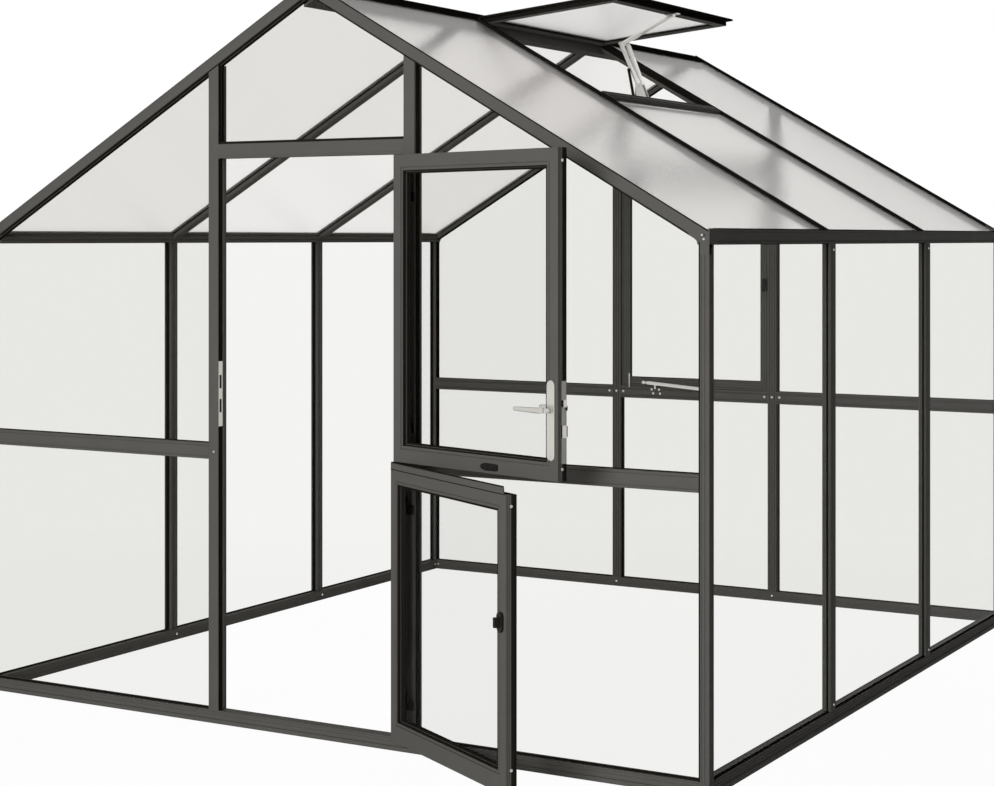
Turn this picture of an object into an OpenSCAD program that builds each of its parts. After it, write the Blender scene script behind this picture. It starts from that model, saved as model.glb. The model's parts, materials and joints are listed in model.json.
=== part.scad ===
// Glass greenhouse with an aluminium frame, a twin-wall roof and a two-leaf stable door.
// The origin is the middle of the front sill's underside: +X right, +Y into the house, +Z up.

/* [House] */
// Width of the frame, outside the corner posts
house_w = 2920; // [2300:20:3600]
// Depth of the frame, outside the corner posts
house_d = 3160; // [2400:20:3900]
// Height of the roof plane over the outer face of the side walls
eave_top = 1690; // [1500:5:2000]
// Slope of the roof
pitch = 30; // [22:0.5:35]
// Bays along each side
bays = 3; // [2:1:4]

/* [Frame profiles] */
// Height of the sill
sill_h = 43; // [35:1:60]
// Depth of the sill, from outside to inside
sill_d = 54; // [46:1:80]
// How far the sill's foot stands out past the posts
sill_lip = 8; // [4:1:12]
// Height of the sill's foot
sill_foot = 14; // [8:1:24]
// Depth of the door posts and rails, from outside to inside
frame_d = 46; // [44:1:60]
// Side of the square corner posts
corner_w = 34; // [32:1:50]
// Face of the door posts and the posts behind them
door_post_w = 42; // [36:1:60]
// Outer face of the posts in the side walls
side_post_w = 50; // [40:1:60]
// Inner face of the posts in the side walls
side_web_w = 32; // [24:1:38]
// How far the posts in the side walls stand out past the glass
side_cap_t = 10; // [6:1:14]
// Face of the gable rafters
rafter_h = 42; // [30:1:60]
// Depth of the gable rafters, from outside to inside
rafter_d = 34; // [30:1:50]
// Height of the eave beams
eave_h = 37; // [30:1:60]
// Width of the eave beams
eave_w = 46; // [35:1:60]
// How far the eave beams' outer lip stands up past the roof plane
eave_lip = 11; // [4:1:15]
// Underside of the mid rails
mid_rail_z = 908; // [850:1:1000]
// Height of the mid rails
mid_rail_h = 55; // [30:1:60]
// Underside of the door header
header_z = 1945; // [1900:1:1950]
// Height of the door header
header_h = 56; // [40:1:65]

/* [Roof] */
// Width of the roof bars under the sheets
roof_bar_w = 42; // [34:1:60]
// Width of the roof bars' caps between the sheets
roof_cap_w = 25; // [18:1:30]
// Depth of the roof bars below the roof plane
roof_bar_h = 40; // [30:1:60]
// Half width of the ridge beam
ridge_half = 42; // [36:1:60]
// Depth of the ridge beam
ridge_h = 50; // [40:1:80]
// Thickness of the twin-wall sheets
sheet_t = 10; // [6:1:16]
// Depth of the sheets' upper face below the roof plane
sheet_drop = 10; // [6:1:14]

/* [Glass] */
// Thickness of the wall glass
glass_t = 4; // [3:1:6]
// Clearance around panes and sheets
glaze_gap = 0.3; // [0.2:0.1:0.6]

/* [Roof vent] */
// Bay that holds the vent, counted from the front
vent_bay = 2; // [1:1:2]
// Length of the vent's frame down the slope
vent_len = 574; // [450:2:700]
// How far the vent's cover runs on past its frame
vent_lip = 22; // [10:1:30]
// Thickness of the vent's cover
vent_cover_t = 4; // [3:1:6]
// Angle that the vent stands open from the slope
vent_open = 35.5; // [0:0.5:45]
// Thickness of the vent's frame
vent_t = 23; // [20:1:30]
// Face of the vent's frame
vent_face = 32; // [28:1:50]
// Width of the crossbar below the vent
cross_w = 40; // [30:1:50]
// Thickness of the opener's struts
strut_d = 11; // [8:1:16]

/* [Stable door] */
// Clear width between the door posts
door_w = 756; // [650:2:900]
// Running gap around the door leaves
door_gap = 5; // [5:0.5:8]
// Thickness of the door leaves
leaf_t = 38; // [32:1:44]
// Face of the leaves' stiles
stile_w = 53; // [50:1:70]
// Face of the upper leaf's top rail
top_rail_h = 58; // [40:1:80]
// Face of the upper leaf's bottom rail
upper_bottom_rail_h = 61; // [50:1:80]
// Face of the lower leaf's top rail
lower_top_rail_h = 51; // [40:1:80]
// Face of the lower leaf's bottom rail
bottom_rail_h = 72; // [50:1:90]
// Top of the lower leaf
lower_leaf_top = 923; // [860:1:960]
// Height of the weather strip on the lower leaf
lap_h = 21; // [15:1:35]
// Thickness of the weather strip
lap_t = 4; // [3:1:8]
// Angle that the upper leaf stands open
upper_open = 163.5; // [0:0.5:170]
// Angle that the lower leaf stands open
lower_open = 149.5; // [0:0.5:170]
// How far the hinge axis lies outside the doorway's clear width
hinge_in = 4; // [2:1:8]

/* [Door fittings] */
// Height of the lever handle's spindle
lever_z = 1160; // [1100:1:1250]
// Distance of the spindle from the leaf's lock edge
backset = 27; // [24:1:30]
// Length of the lever
lever_len = 132; // [100:1:140]
// Thickness of the lever
lever_t = 14; // [10:1:18]
// Height of the lever's grip
lever_h = 16; // [12:1:22]
// Distance of the lever's outer face from the lock's plate
neck_len = 38; // [34:1:50]
// Length of the lock's plates
plate_h = 240; // [200:1:280]
// Width of the lock's plates
plate_w = 32; // [24:1:36]
// Thickness of the lock's plates
plate_t = 5; // [3:1:8]
// Height of the lock's plates above the spindle
plate_up = 89; // [60:1:110]
// Length of the strike plate in the door post
strike_h = 224; // [160:1:260]
// Width of the strike plate
strike_w = 22; // [16:1:26]
// Height of the lower leaf's turn knob
knob_z = 550; // [450:5:650]
// Diameter of the spindle
spindle_d = 8; // [7:0.5:9]
// Diameter of the hinge barrels
barrel_d = 14; // [12:0.5:16]
// Diameter of the hinge pins
pin_d = 7; // [5:0.5:8]
// Length of one hinge knuckle
knuckle_h = 32; // [25:1:45]
// Radial clearance of pins and spindle
pin_fit = 0.1; // [0.05:0.01:0.3]

/* [Back window] */
// Face of the window's frame
window_face = 42; // [28:1:50]
// Thickness of the window's frame
window_t = 26; // [20:1:28]
// How far the window lies behind the posts' inner faces
window_in = 18; // [10:1:18]
// Length of the window's stay bar
stay_len = 320; // [240:5:400]
// Diameter of the window's stay bar
stay_d = 9; // [6:1:12]
// Middle of the stay bar's free end, from the middle of the house
stay_x = -261; // [-300:1:-200]

/* [Hidden] */
$fn = 48;
half_w = house_w / 2;
front_y = sill_lip - sill_d / 2;
back_y = front_y + house_d;
bay = house_d / bays;
ridge_z = eave_top + half_w * tan(pitch);
door_half = door_w / 2;
post_outer = door_half + door_post_w;
glass_in = (frame_d - glass_t) / 2;
gusset_r = 62;
gusset_t = glass_in - glaze_gap;
strike_t = 2;
strike_z = lever_z - 138;
strike_y = front_y + 2;
plate_z = lever_z - plate_h + plate_up;
eave_z = eave_top - eave_h;
header_top = header_z + header_h;
mid_rail_top = mid_rail_z + mid_rail_h;
seat_w = -sheet_drop - sheet_t - glaze_gap;
lip_t = 4;
cut_gap = 0.05;
hinge_off = barrel_d / 2 + 3;
hinge_x = door_half + hinge_in;
hinge_y = front_y - hinge_off;
hinge_leaf_t = 3;
hinge_lift = 0.5;
leaf_w = door_w - 2 * door_gap;
leaf_x2 = -door_gap - hinge_in;
leaf_x1 = leaf_x2 - leaf_w;
leaf_y1 = hinge_off;
leaf_y2 = hinge_off + leaf_t;
lock_x = leaf_x1 + backset;
lower_leaf_z = sill_h + door_gap;
upper_leaf_z = lower_leaf_top + lap_h + door_gap;
upper_leaf_top = header_z - door_gap;
upper_hinges = [upper_leaf_z + 90, upper_leaf_top - 150];
lower_hinges = [lower_leaf_z + 90, lower_leaf_top - 150];
window_top = header_z - glaze_gap;
window_low = mid_rail_top + glaze_gap;
window_half = door_half - glaze_gap;
window_y = back_y - frame_d + window_in;
stay_y = back_y - frame_d - stay_d;
stay_z = window_low + 12;
vent_mid_y = front_y + (vent_bay - 0.5) * bay;
vent_w = bay - roof_bar_w - 6;
vent_cover_w = bay - 4;
vent_hinge = ridge_half + 1;
vent_drop = vent_t - 1;
cross_x = vent_hinge + vent_len * cos(pitch) + 16;
opener_plate_t = 4;
opener_half = 12;
opener_base = roof_z(cross_x) - 20;
opener_foot = [cross_x - 45, opener_base + 38];
opener_link = [cross_x - 112, opener_base + 42];
opener_knee = opener_link + [-22, 84];
opener_elbow = opener_foot + [-100, 201];
opener_run = vent_len - 10;
opener_drop = 12;
opener_leaf = [vent_hinge, roof_z(vent_hinge)] +
  opener_run * [cos(vent_open - pitch), sin(vent_open - pitch)] +
  (vent_drop + opener_drop) * [sin(vent_open - pitch), -cos(vent_open - pitch)];

// Height of a plane parallel to the roof, w above it square to the slope
function roof_z(x, w = 0) = ridge_z - abs(x) * tan(pitch) + w / cos(pitch);

// Middle of the post or roof bar between two bays
function bar_y(i) = front_y + i * bay;

// A section drawn in X and Z, carried along Y
module along_y(y1, y2) {
  translate([0, y2, 0]) rotate([90, 0, 0]) linear_extrude(y2 - y1) children();
}

module block(x1, x2, y1, y2, z1, z2) {
  translate([x1, y1, z1]) cube([x2 - x1, y2 - y1, z2 - z1]);
}

// A section between two planes parallel to the roof, with upright ends
module slope_section(x1, x2, w1, w2) {
  polygon([[x1, roof_z(x1, w1)], [x2, roof_z(x2, w1)], [x2, roof_z(x2, w2)], [x1, roof_z(x1, w2)]]);
}

// An upright in a gable wall that ends under the rafter
module gable_upright(x1, x2, y1, y2) {
  along_y(y1, y2)
    polygon([[x1, sill_h], [x2, sill_h], [x2, roof_z(x2, -rafter_h - cut_gap)],
      [x1, roof_z(x1, -rafter_h - cut_gap)]]);
}

// The sill steps back above its foot, flush with the posts
module sill_section() {
  polygon([[0, 0], [sill_d, 0], [sill_d, sill_h], [sill_lip, sill_h], [sill_lip, sill_foot], [0, sill_foot]]);
}

module gable_sill(y1, turn) {
  translate([0, y1, 0]) rotate([0, 0, turn]) translate([-half_w - sill_lip, 0, 0])
    rotate([90, 0, 90]) linear_extrude(house_w + 2 * sill_lip) sill_section();
}

module side_sill(side) {
  mirror([side > 0 ? 1 : 0, 0, 0])
    translate([-half_w - sill_lip, 0, 0])
      along_y(front_y - sill_lip + sill_d, back_y + sill_lip - sill_d) sill_section();
}

module corner_post(side, y1) {
  x1 = side > 0 ? half_w - corner_w : -half_w;
  color("#4a4643") gable_upright(x1, x1 + corner_w, y1, y1 + corner_w);
}

// A wide cap outside the glass, and a narrower web behind it
module side_posts(side) {
  mirror([side > 0 ? 1 : 0, 0, 0]) color("#4a4643") for (i = [1:bays - 1]) {
    block(-half_w, -half_w + side_cap_t, bar_y(i) - side_post_w / 2, bar_y(i) + side_post_w / 2,
      sill_h, eave_z);
    block(-half_w + side_cap_t, -half_w + frame_d, bar_y(i) - side_web_w / 2, bar_y(i) + side_web_w / 2,
      sill_h, eave_z);
  }
}

// The eave beam carries the sheets on its sloping seat, behind a thin outer lip
module eave_beam(side) {
  mirror([side > 0 ? 1 : 0, 0, 0]) color("#3a3734")
    along_y(front_y + rafter_d, back_y - rafter_d)
      polygon([[-half_w, eave_z], [-half_w + eave_w, eave_z],
        [-half_w + eave_w, roof_z(half_w - eave_w, seat_w)],
        [-half_w + lip_t, roof_z(half_w - lip_t, seat_w)],
        [-half_w + lip_t, eave_top + eave_lip], [-half_w, eave_top + eave_lip]]);
}

module ridge_beam() {
  color("#3a3734") along_y(front_y + rafter_d, back_y - rafter_d)
    polygon([[-ridge_half, roof_z(ridge_half)], [0, ridge_z], [ridge_half, roof_z(ridge_half)],
      [ridge_half, roof_z(ridge_half, -ridge_h)], [0, roof_z(0, -ridge_h)],
      [-ridge_half, roof_z(ridge_half, -ridge_h)]]);
}

module rafter(side, y1) {
  color("#55514d") along_y(y1, y1 + rafter_d) slope_section(side * half_w, 0, -rafter_h, 0);
}

// A web with a rounded inner edge that stiffens the corner between a post and its rafter
module gusset(y1) {
  x = half_w - corner_w;
  z = roof_z(x, -rafter_h - cut_gap);
  reach = gusset_r * tan(45 - pitch / 2);
  arm = 0.7 * reach;
  along_y(y1, y1 + gusset_t) difference() {
    polygon([[x, z], [x, z - arm], [x - arm * cos(pitch), z + arm * sin(pitch)]]);
    translate([x - gusset_r, z - reach]) circle(r = gusset_r);
  }
}

module eave_gussets() {
  color("#55514d") for (side = [0, 1]) mirror([side, 0, 0]) {
    gusset(front_y);
    gusset(back_y - gusset_t);
  }
}

// Each bar laps over the eave beam's seat and ends at the ridge beam
module roof_bars(side) {
  color("#3a3734") for (i = [1:bays - 1]) {
    along_y(bar_y(i) - roof_cap_w / 2, bar_y(i) + roof_cap_w / 2)
      slope_section(side * (half_w - lip_t - glaze_gap), side * (ridge_half + glaze_gap), seat_w + cut_gap, 0);
    along_y(bar_y(i) - roof_bar_w / 2, bar_y(i) + roof_bar_w / 2)
      slope_section(side * (half_w - eave_w - glaze_gap), side * (ridge_half + glaze_gap),
        -roof_bar_h, seat_w + cut_gap);
  }
}

module door_post(side) {
  x1 = side > 0 ? door_half : -post_outer;
  gable_upright(x1, x1 + door_post_w, front_y, front_y + frame_d);
}

module strike(grow) {
  block(-door_half - strike_t - grow, -door_half + grow, strike_y - grow,
    strike_y + strike_w + grow, strike_z - grow, strike_z + strike_h + grow);
}

// A pane of wall glass in X and Z, glaze_gap inside the outline that carries it
module gable_pane(y1) {
  along_y(y1 + glass_in, y1 + glass_in + glass_t) children();
}

module gable_panes(y1, centre_mid) {
  inner = half_w - corner_w - glaze_gap;
  outer = post_outer + glaze_gap;
  color("#cfe0e4", 0.4) for (side = [-1, 1]) {
    gable_pane(y1) polygon([[side * inner, sill_h + glaze_gap], [side * outer, sill_h + glaze_gap],
      [side * outer, mid_rail_z - glaze_gap], [side * inner, mid_rail_z - glaze_gap]]);
    gable_pane(y1) polygon([[side * inner, mid_rail_top + glaze_gap],
      [side * outer, mid_rail_top + glaze_gap], [side * outer, roof_z(outer, -rafter_h - glaze_gap)],
      [side * inner, roof_z(inner, -rafter_h - glaze_gap)]]);
  }
  in = door_half - glaze_gap;
  color("#cfe0e4", 0.4) gable_pane(y1) polygon([[-in, header_top + glaze_gap],
    [in, header_top + glaze_gap], [in, roof_z(in, -rafter_h - glaze_gap)],
    [0, roof_z(0, -rafter_h - glaze_gap)], [-in, roof_z(in, -rafter_h - glaze_gap)]]);
  if (centre_mid) color("#cfe0e4", 0.4) gable_pane(y1)
    polygon([[-in, sill_h + glaze_gap], [in, sill_h + glaze_gap],
      [in, mid_rail_z - glaze_gap], [-in, mid_rail_z - glaze_gap]]);
}

// Panes of the side walls: their edges lie behind the posts' caps, against the webs
module side_panes(side) {
  mirror([side > 0 ? 1 : 0, 0, 0]) color("#cfe0e4", 0.4) for (i = [0:bays - 1])
    block(-half_w + side_cap_t + glaze_gap, -half_w + side_cap_t + glaze_gap + glass_t,
      i == 0 ? front_y + corner_w + glaze_gap : bar_y(i) + side_web_w / 2 + glaze_gap,
      i == bays - 1 ? back_y - corner_w - glaze_gap : bar_y(i + 1) - side_web_w / 2 - glaze_gap,
      sill_h + glaze_gap, eave_z - glaze_gap);
}

// Twin-wall sheets, from the eave beam's lip to the ridge beam, or to the crossbar below the vent
module roof_sheets(side) {
  color("#e4e2de") for (i = [0:bays - 1])
    along_y(i == 0 ? front_y + rafter_d + glaze_gap : bar_y(i) + roof_cap_w / 2 + glaze_gap,
      i == bays - 1 ? back_y - rafter_d - glaze_gap : bar_y(i + 1) - roof_cap_w / 2 - glaze_gap)
      slope_section(side * (half_w - lip_t - glaze_gap),
        side * (side > 0 && i == vent_bay - 1 ? cross_x + cross_w + glaze_gap : ridge_half + glaze_gap),
        -sheet_drop - sheet_t, -sheet_drop);
}

module vent_crossbar() {
  color("#3a3734") along_y(bar_y(vent_bay - 1) + roof_bar_w / 2, bar_y(vent_bay) - roof_bar_w / 2)
    slope_section(cross_x, cross_x + cross_w, -roof_bar_h, 0);
}

// The vent leaf hangs on the ridge beam's edge: x runs along it from the hinge, z = 0 is its underside
module vent_place() {
  translate([vent_hinge, vent_mid_y, roof_z(vent_hinge)])
    rotate([0, pitch - vent_open, 0]) translate([0, 0, -vent_drop]) children();
}

// The cover laps over the roof bars on both sides and over the crossbar; the frame fits between them
module vent_frame() {
  color("#3a3734") vent_place() {
    for (y1 = [-vent_w / 2, vent_w / 2 - vent_face])
      block(0, vent_len, y1, y1 + vent_face, 0, vent_t);
    for (x1 = [0, vent_len - vent_face])
      block(x1, x1 + vent_face, -vent_w / 2 + vent_face, vent_w / 2 - vent_face, 0, vent_t);
    block(vent_len - vent_face, vent_len + vent_lip, -vent_cover_w / 2, vent_cover_w / 2, vent_t,
      vent_t + vent_cover_t);
    for (y1 = [-vent_cover_w / 2, vent_w / 2 - vent_face])
      block(0, vent_len - vent_face, y1, y1 + (vent_cover_w - vent_w) / 2 + vent_face, vent_t,
        vent_t + vent_cover_t);
  }
}

module vent_sheet() {
  edge = vent_face + glaze_gap;
  color("#e4e2de") vent_place() block(edge, vent_len - edge, -vent_w / 2 + edge, vent_w / 2 - edge,
    vent_t - sheet_t, vent_t);
}

// A round bar between two points of the plane y, in X and Z
module rod(a, b, y, d) {
  translate([a[0], y, a[1]]) rotate([0, atan2(b[0] - a[0], b[1] - a[1]), 0])
    cylinder(d = d, h = norm(b - a));
}

// A bracket on the crossbar, two struts up to the elbow, an arm on to the leaf, and a thin link
module vent_opener() {
  color("silver") {
    block(opener_link[0] - 12, cross_x, vent_mid_y - 20, vent_mid_y + 20, opener_base,
      opener_base + opener_plate_t);
    for (spot = [opener_foot, opener_link])
      block(spot[0] - 8, spot[0] + 8, vent_mid_y - 8, vent_mid_y + 8, opener_base, spot[1] + 4);
    for (y = [vent_mid_y - opener_half, vent_mid_y + opener_half])
      rod(opener_foot, opener_elbow, y, strut_d);
    rod(opener_link, opener_knee, vent_mid_y - opener_half, strut_d - 4);
    rod(opener_elbow, opener_leaf, vent_mid_y, strut_d);
    for (spot = [opener_foot, opener_link, opener_knee, opener_elbow])
      translate([spot[0], vent_mid_y - opener_half - strut_d / 2, spot[1]]) rotate([-90, 0, 0])
        cylinder(d = strut_d + 2, h = 2 * opener_half + strut_d);
    translate([opener_leaf[0], vent_mid_y, opener_leaf[1]]) rotate([0, pitch - vent_open, 0]) {
      block(-22, 22, -16, 16, opener_drop - opener_plate_t, opener_drop - cut_gap);
      block(-7, 7, -6, 6, 0, opener_drop - opener_plate_t);
    }
  }
}

module back_posts() {
  color("#4a4643") for (x1 = [-post_outer, door_half])
    gable_upright(x1, x1 + door_post_w, back_y - frame_d, back_y);
}

module window_frame() {
  color("#4a4643") {
    for (x1 = [-window_half, window_half - window_face])
      block(x1, x1 + window_face, window_y, window_y + window_t, window_low, window_top);
    for (z1 = [window_low, window_top - window_face])
      block(-window_half + window_face, window_half - window_face, window_y, window_y + window_t,
        z1, z1 + window_face);
  }
}

module window_glass() {
  edge = window_face + glaze_gap;
  color("#cfe0e4", 0.4) block(-window_half + edge, window_half - edge,
    window_y + (window_t - glass_t) / 2, window_y + (window_t + glass_t) / 2,
    window_low + edge, window_top - edge);
}

// The stay bar lies along the foot of the window, on two pins whose plates sit on the mid rail
module window_stay() {
  wall_y = back_y - frame_d;
  color("silver") {
    translate([stay_x, stay_y, stay_z]) rotate([0, 90, 0]) cylinder(d = stay_d, h = stay_len);
    for (x = [stay_x + 62, stay_x + stay_len - 50]) {
      block(x, x + 42, wall_y - 4, wall_y, mid_rail_top - 34, mid_rail_top - 6);
      block(x + 18, x + 24, stay_y - 2, wall_y, mid_rail_top - 20, stay_z);
    }
  }
}

// The fixed half of each hinge: a plate on the post, a knuckle and the pin that stands up from it
module door_hinges() {
  color("#33302e") for (z = concat(upper_hinges, lower_hinges)) translate([hinge_x, hinge_y, z]) {
    cylinder(d = barrel_d, h = knuckle_h);
    cylinder(d = pin_d, h = 2 * knuckle_h - 2);
    block(0, post_outer - hinge_x, hinge_off - hinge_leaf_t, hinge_off, 0, knuckle_h);
    block(0, barrel_d / 2, 0, hinge_off, 0, knuckle_h);
  }
}

// A leaf is drawn shut, with its hinge axis at the origin, and then turned open
module leaf_place(open) {
  translate([hinge_x, hinge_y, 0]) rotate([0, 0, open]) children();
}

module leaf_frame(z1, z2, rail_low, rail_high) {
  difference() {
    for (x1 = [leaf_x1, leaf_x2 - stile_w])
      block(x1, x1 + stile_w, leaf_y1, leaf_y2, z1, z2);
    translate([lock_x, leaf_y1 - 1, lever_z]) rotate([-90, 0, 0])
      cylinder(d = spindle_d + 2 * pin_fit, h = leaf_t + 2);
  }
  block(leaf_x1 + stile_w, leaf_x2 - stile_w, leaf_y1, leaf_y2, z1, z1 + rail_low);
  block(leaf_x1 + stile_w, leaf_x2 - stile_w, leaf_y1, leaf_y2, z2 - rail_high, z2);
}

// The moving half of each hinge: a knuckle that drops over the pin, and its plate on the leaf
module leaf_knuckles(heights) {
  for (z = heights) translate([0, 0, z + knuckle_h + hinge_lift]) difference() {
    union() {
      cylinder(d = barrel_d, h = knuckle_h);
      block(leaf_x2 - stile_w + 10, 0, hinge_off - hinge_leaf_t, hinge_off, 0, knuckle_h);
      block(-barrel_d / 2, 0, 0, hinge_off, 0, knuckle_h);
    }
    translate([0, 0, -1]) cylinder(d = pin_d + 2 * pin_fit, h = knuckle_h + 2);
  }
}

module leaf_glass(z1, z2) {
  color("#cfe0e4", 0.4) block(leaf_x1 + stile_w + glaze_gap, leaf_x2 - stile_w - glaze_gap,
    leaf_y1 + (leaf_t - glass_t) / 2, leaf_y1 + (leaf_t + glass_t) / 2, z1 + glaze_gap, z2 - glaze_gap);
}

// One lock plate on each face of the stile, with a hole for the spindle
module lock_plates() {
  color("silver") leaf_place(upper_open) difference() {
    for (y1 = [leaf_y1 - plate_t, leaf_y2])
      block(lock_x - plate_w / 2, lock_x + plate_w / 2, y1, y1 + plate_t,
        plate_z, plate_z + plate_h);
    translate([lock_x, leaf_y1 - plate_t - 1, lever_z]) rotate([-90, 0, 0])
      cylinder(d = spindle_d + 2 * pin_fit, h = leaf_t + 2 * plate_t + 2);
  }
}

// One spindle through the stile, with a round neck and a flat lever at each end
module lever_handle() {
  outer_y = leaf_y1 - plate_t - neck_len;
  inner_y = leaf_y2 + plate_t + neck_len;
  color("silver") leaf_place(upper_open) translate([lock_x, 0, lever_z]) {
    translate([0, outer_y, 0]) rotate([-90, 0, 0]) cylinder(d = spindle_d, h = inner_y - outer_y);
    for (y1 = [outer_y, leaf_y2 + plate_t + 1])
      translate([0, y1, 0]) rotate([-90, 0, 0]) cylinder(d = lever_h, h = neck_len - 1);
    for (y1 = [outer_y, inner_y - lever_t])
      block(-lever_h / 2, lever_len, y1, y1 + lever_t, -lever_h / 2, lever_h / 2);
  }
}

module weather_strip() {
  color("#3a3734") leaf_place(lower_open)
    block(leaf_x1 + 15, leaf_x2, leaf_y2 - lap_t, leaf_y2, lower_leaf_top, lower_leaf_top + lap_h);
}

// The thumb turn of the lower leaf's bolt: an upright oval rose and a bar across it
module turn_knob() {
  color("#1c1b1a") leaf_place(lower_open) translate([lock_x, leaf_y2, knob_z]) rotate([-90, 0, 0]) {
    linear_extrude(7) for (z = [-14, 14]) translate([0, z]) circle(d = 32);
    linear_extrude(7) square([32, 28], center = true);
    translate([0, 0, 7]) linear_extrude(18) square([10, 30], center = true);
  }
}

color("#4a4643") gable_sill(front_y - sill_lip, 0);  // sill_front
color("#4a4643") gable_sill(back_y + sill_lip, 180);  // sill_back
color("#4a4643") side_sill(-1);  // sill_left
color("#4a4643") side_sill(1);  // sill_right
corner_post(-1, front_y);  // corner_post_front_left
corner_post(1, front_y);  // corner_post_front_right
corner_post(-1, back_y - corner_w);  // corner_post_back_left
corner_post(1, back_y - corner_w);  // corner_post_back_right
side_posts(-1);  // side_posts_left
side_posts(1);  // side_posts_right
eave_beam(-1);  // eave_beam_left
eave_beam(1);  // eave_beam_right
ridge_beam();
rafter(-1, front_y);  // rafter_front_left
rafter(1, front_y);  // rafter_front_right
rafter(-1, back_y - rafter_d);  // rafter_back_left
rafter(1, back_y - rafter_d);  // rafter_back_right
eave_gussets();
roof_bars(-1);  // roof_bars_left
roof_bars(1);  // roof_bars_right
color("#55514d") difference() { door_post(-1); strike(glaze_gap); }  // door_post_left
color("#55514d") door_post(1);  // door_post_right
color("#55514d") block(-door_half, door_half, front_y, front_y + frame_d, header_z, header_top);  // door_header
color("#55514d") for (side = [-1, 1])  // front_mid_rails
  block(side > 0 ? post_outer : -half_w + corner_w, side > 0 ? half_w - corner_w : -post_outer,
    front_y, front_y + frame_d, mid_rail_z, mid_rail_top);
back_posts();
color("#4a4643") block(-door_half, door_half, back_y - frame_d, back_y, header_z, header_top);  // back_header
color("#4a4643")  // back_mid_rails
  for (span = [[-half_w + corner_w, -post_outer], [-door_half, door_half], [post_outer, half_w - corner_w]])
    block(span[0], span[1], back_y - frame_d, back_y, mid_rail_z, mid_rail_top);
gable_panes(front_y, false);  // front_glass
gable_panes(back_y - frame_d, true);  // back_glass
side_panes(-1);  // left_glass
side_panes(1);  // right_glass
roof_sheets(-1);  // roof_sheets_left
roof_sheets(1);  // roof_sheets_right
vent_crossbar();
vent_frame();
vent_sheet();
vent_opener();
window_frame();
window_glass();
window_stay();
color("silver") strike(0);  // strike_plate
door_hinges();
color("#55514d") leaf_place(upper_open) {  // upper_leaf_frame
  leaf_frame(upper_leaf_z, upper_leaf_top, upper_bottom_rail_h, top_rail_h);
  leaf_knuckles(upper_hinges);
}
leaf_place(upper_open)  // upper_leaf_glass
  leaf_glass(upper_leaf_z + upper_bottom_rail_h, upper_leaf_top - top_rail_h);
lock_plates();
lever_handle();
color("#55514d") leaf_place(lower_open) {  // lower_leaf_frame
  leaf_frame(lower_leaf_z, lower_leaf_top, bottom_rail_h, lower_top_rail_h);
  leaf_knuckles(lower_hinges);
}
leaf_place(lower_open)  // lower_leaf_glass
  leaf_glass(lower_leaf_z + bottom_rail_h, lower_leaf_top - lower_top_rail_h);
weather_strip();
turn_knob();
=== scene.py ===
import json
import math

import bpy
import numpy as np
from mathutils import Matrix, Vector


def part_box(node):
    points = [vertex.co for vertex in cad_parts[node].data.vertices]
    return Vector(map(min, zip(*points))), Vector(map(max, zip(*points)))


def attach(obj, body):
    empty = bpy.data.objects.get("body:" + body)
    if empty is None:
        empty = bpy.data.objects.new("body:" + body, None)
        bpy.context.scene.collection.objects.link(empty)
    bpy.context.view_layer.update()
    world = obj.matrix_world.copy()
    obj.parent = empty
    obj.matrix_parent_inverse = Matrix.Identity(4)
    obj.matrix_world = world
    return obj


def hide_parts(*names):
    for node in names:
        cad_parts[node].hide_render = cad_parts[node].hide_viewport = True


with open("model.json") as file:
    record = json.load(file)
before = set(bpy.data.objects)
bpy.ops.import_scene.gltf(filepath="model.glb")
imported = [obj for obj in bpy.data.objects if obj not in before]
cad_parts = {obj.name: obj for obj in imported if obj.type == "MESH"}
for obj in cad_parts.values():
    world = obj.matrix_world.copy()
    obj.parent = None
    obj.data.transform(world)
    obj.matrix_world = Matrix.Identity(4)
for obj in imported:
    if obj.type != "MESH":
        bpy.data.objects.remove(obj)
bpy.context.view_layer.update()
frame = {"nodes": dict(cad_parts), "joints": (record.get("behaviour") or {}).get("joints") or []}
mm = 0.001

# ---------------------------------------------------------------- base sills
# The base is four aluminium extrusions, powder coated dark bronze grey and mitred at the corners.
# Each has a foot that stands out at the ground, fine drip grooves above it, and anchor bolts inside.
header_low, header_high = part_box("door_header")
front_face = header_low.y
back_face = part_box("back_header")[1].y
half_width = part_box("corner_post_front_right")[1].x
sill_low, sill_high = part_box("sill_front")
sill_lip = front_face - sill_low.y
sill_depth = sill_high.y - sill_low.y
sill_height = sill_high.z
bay = (back_face - front_face) / 3
bars_y = [front_face + bay, front_face + 2 * bay]
door_half = header_high.x
post_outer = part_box("door_post_right")[1].x
gables = (("front", front_face, 1), ("back", back_face, -1))
sides = (("left", -1), ("right", 1))


def linear(hex_colour):
    """One sRGB hex colour as linear RGBA."""
    value = np.array([int(hex_colour[i:i + 2], 16) for i in (1, 3, 5)]) / 255
    low, high = value / 12.92, ((value + 0.055) / 1.055) ** 2.4
    return (*np.where(value <= 0.04045, low, high).tolist(), 1.0)


def add_node(material, kind, links=None, **settings):
    """Adds one node. Settings are its own properties, or its sockets with underscores for spaces. Links are its
    sockets, by name or number, and the outputs that feed them."""
    node = material.node_tree.nodes.new(kind)
    for name, value in settings.items():
        socket = node.inputs.get(name.replace("_", " "))
        if socket is not None:
            socket.default_value = value
        else:
            setattr(node, name, value)
    for name, output in (links or {}).items():
        material.node_tree.links.new(output, node.inputs[name])
    return node


def new_material(name):
    """A node material with no nodes yet."""
    material = bpy.data.materials.new(name)
    material.use_nodes = True
    material.node_tree.nodes.clear()
    return material


def surfaced(material, shader):
    """The material, once this shader node is its surface."""
    add_node(material, "ShaderNodeOutputMaterial", {"Surface": shader.outputs[0]})
    return material


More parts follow.
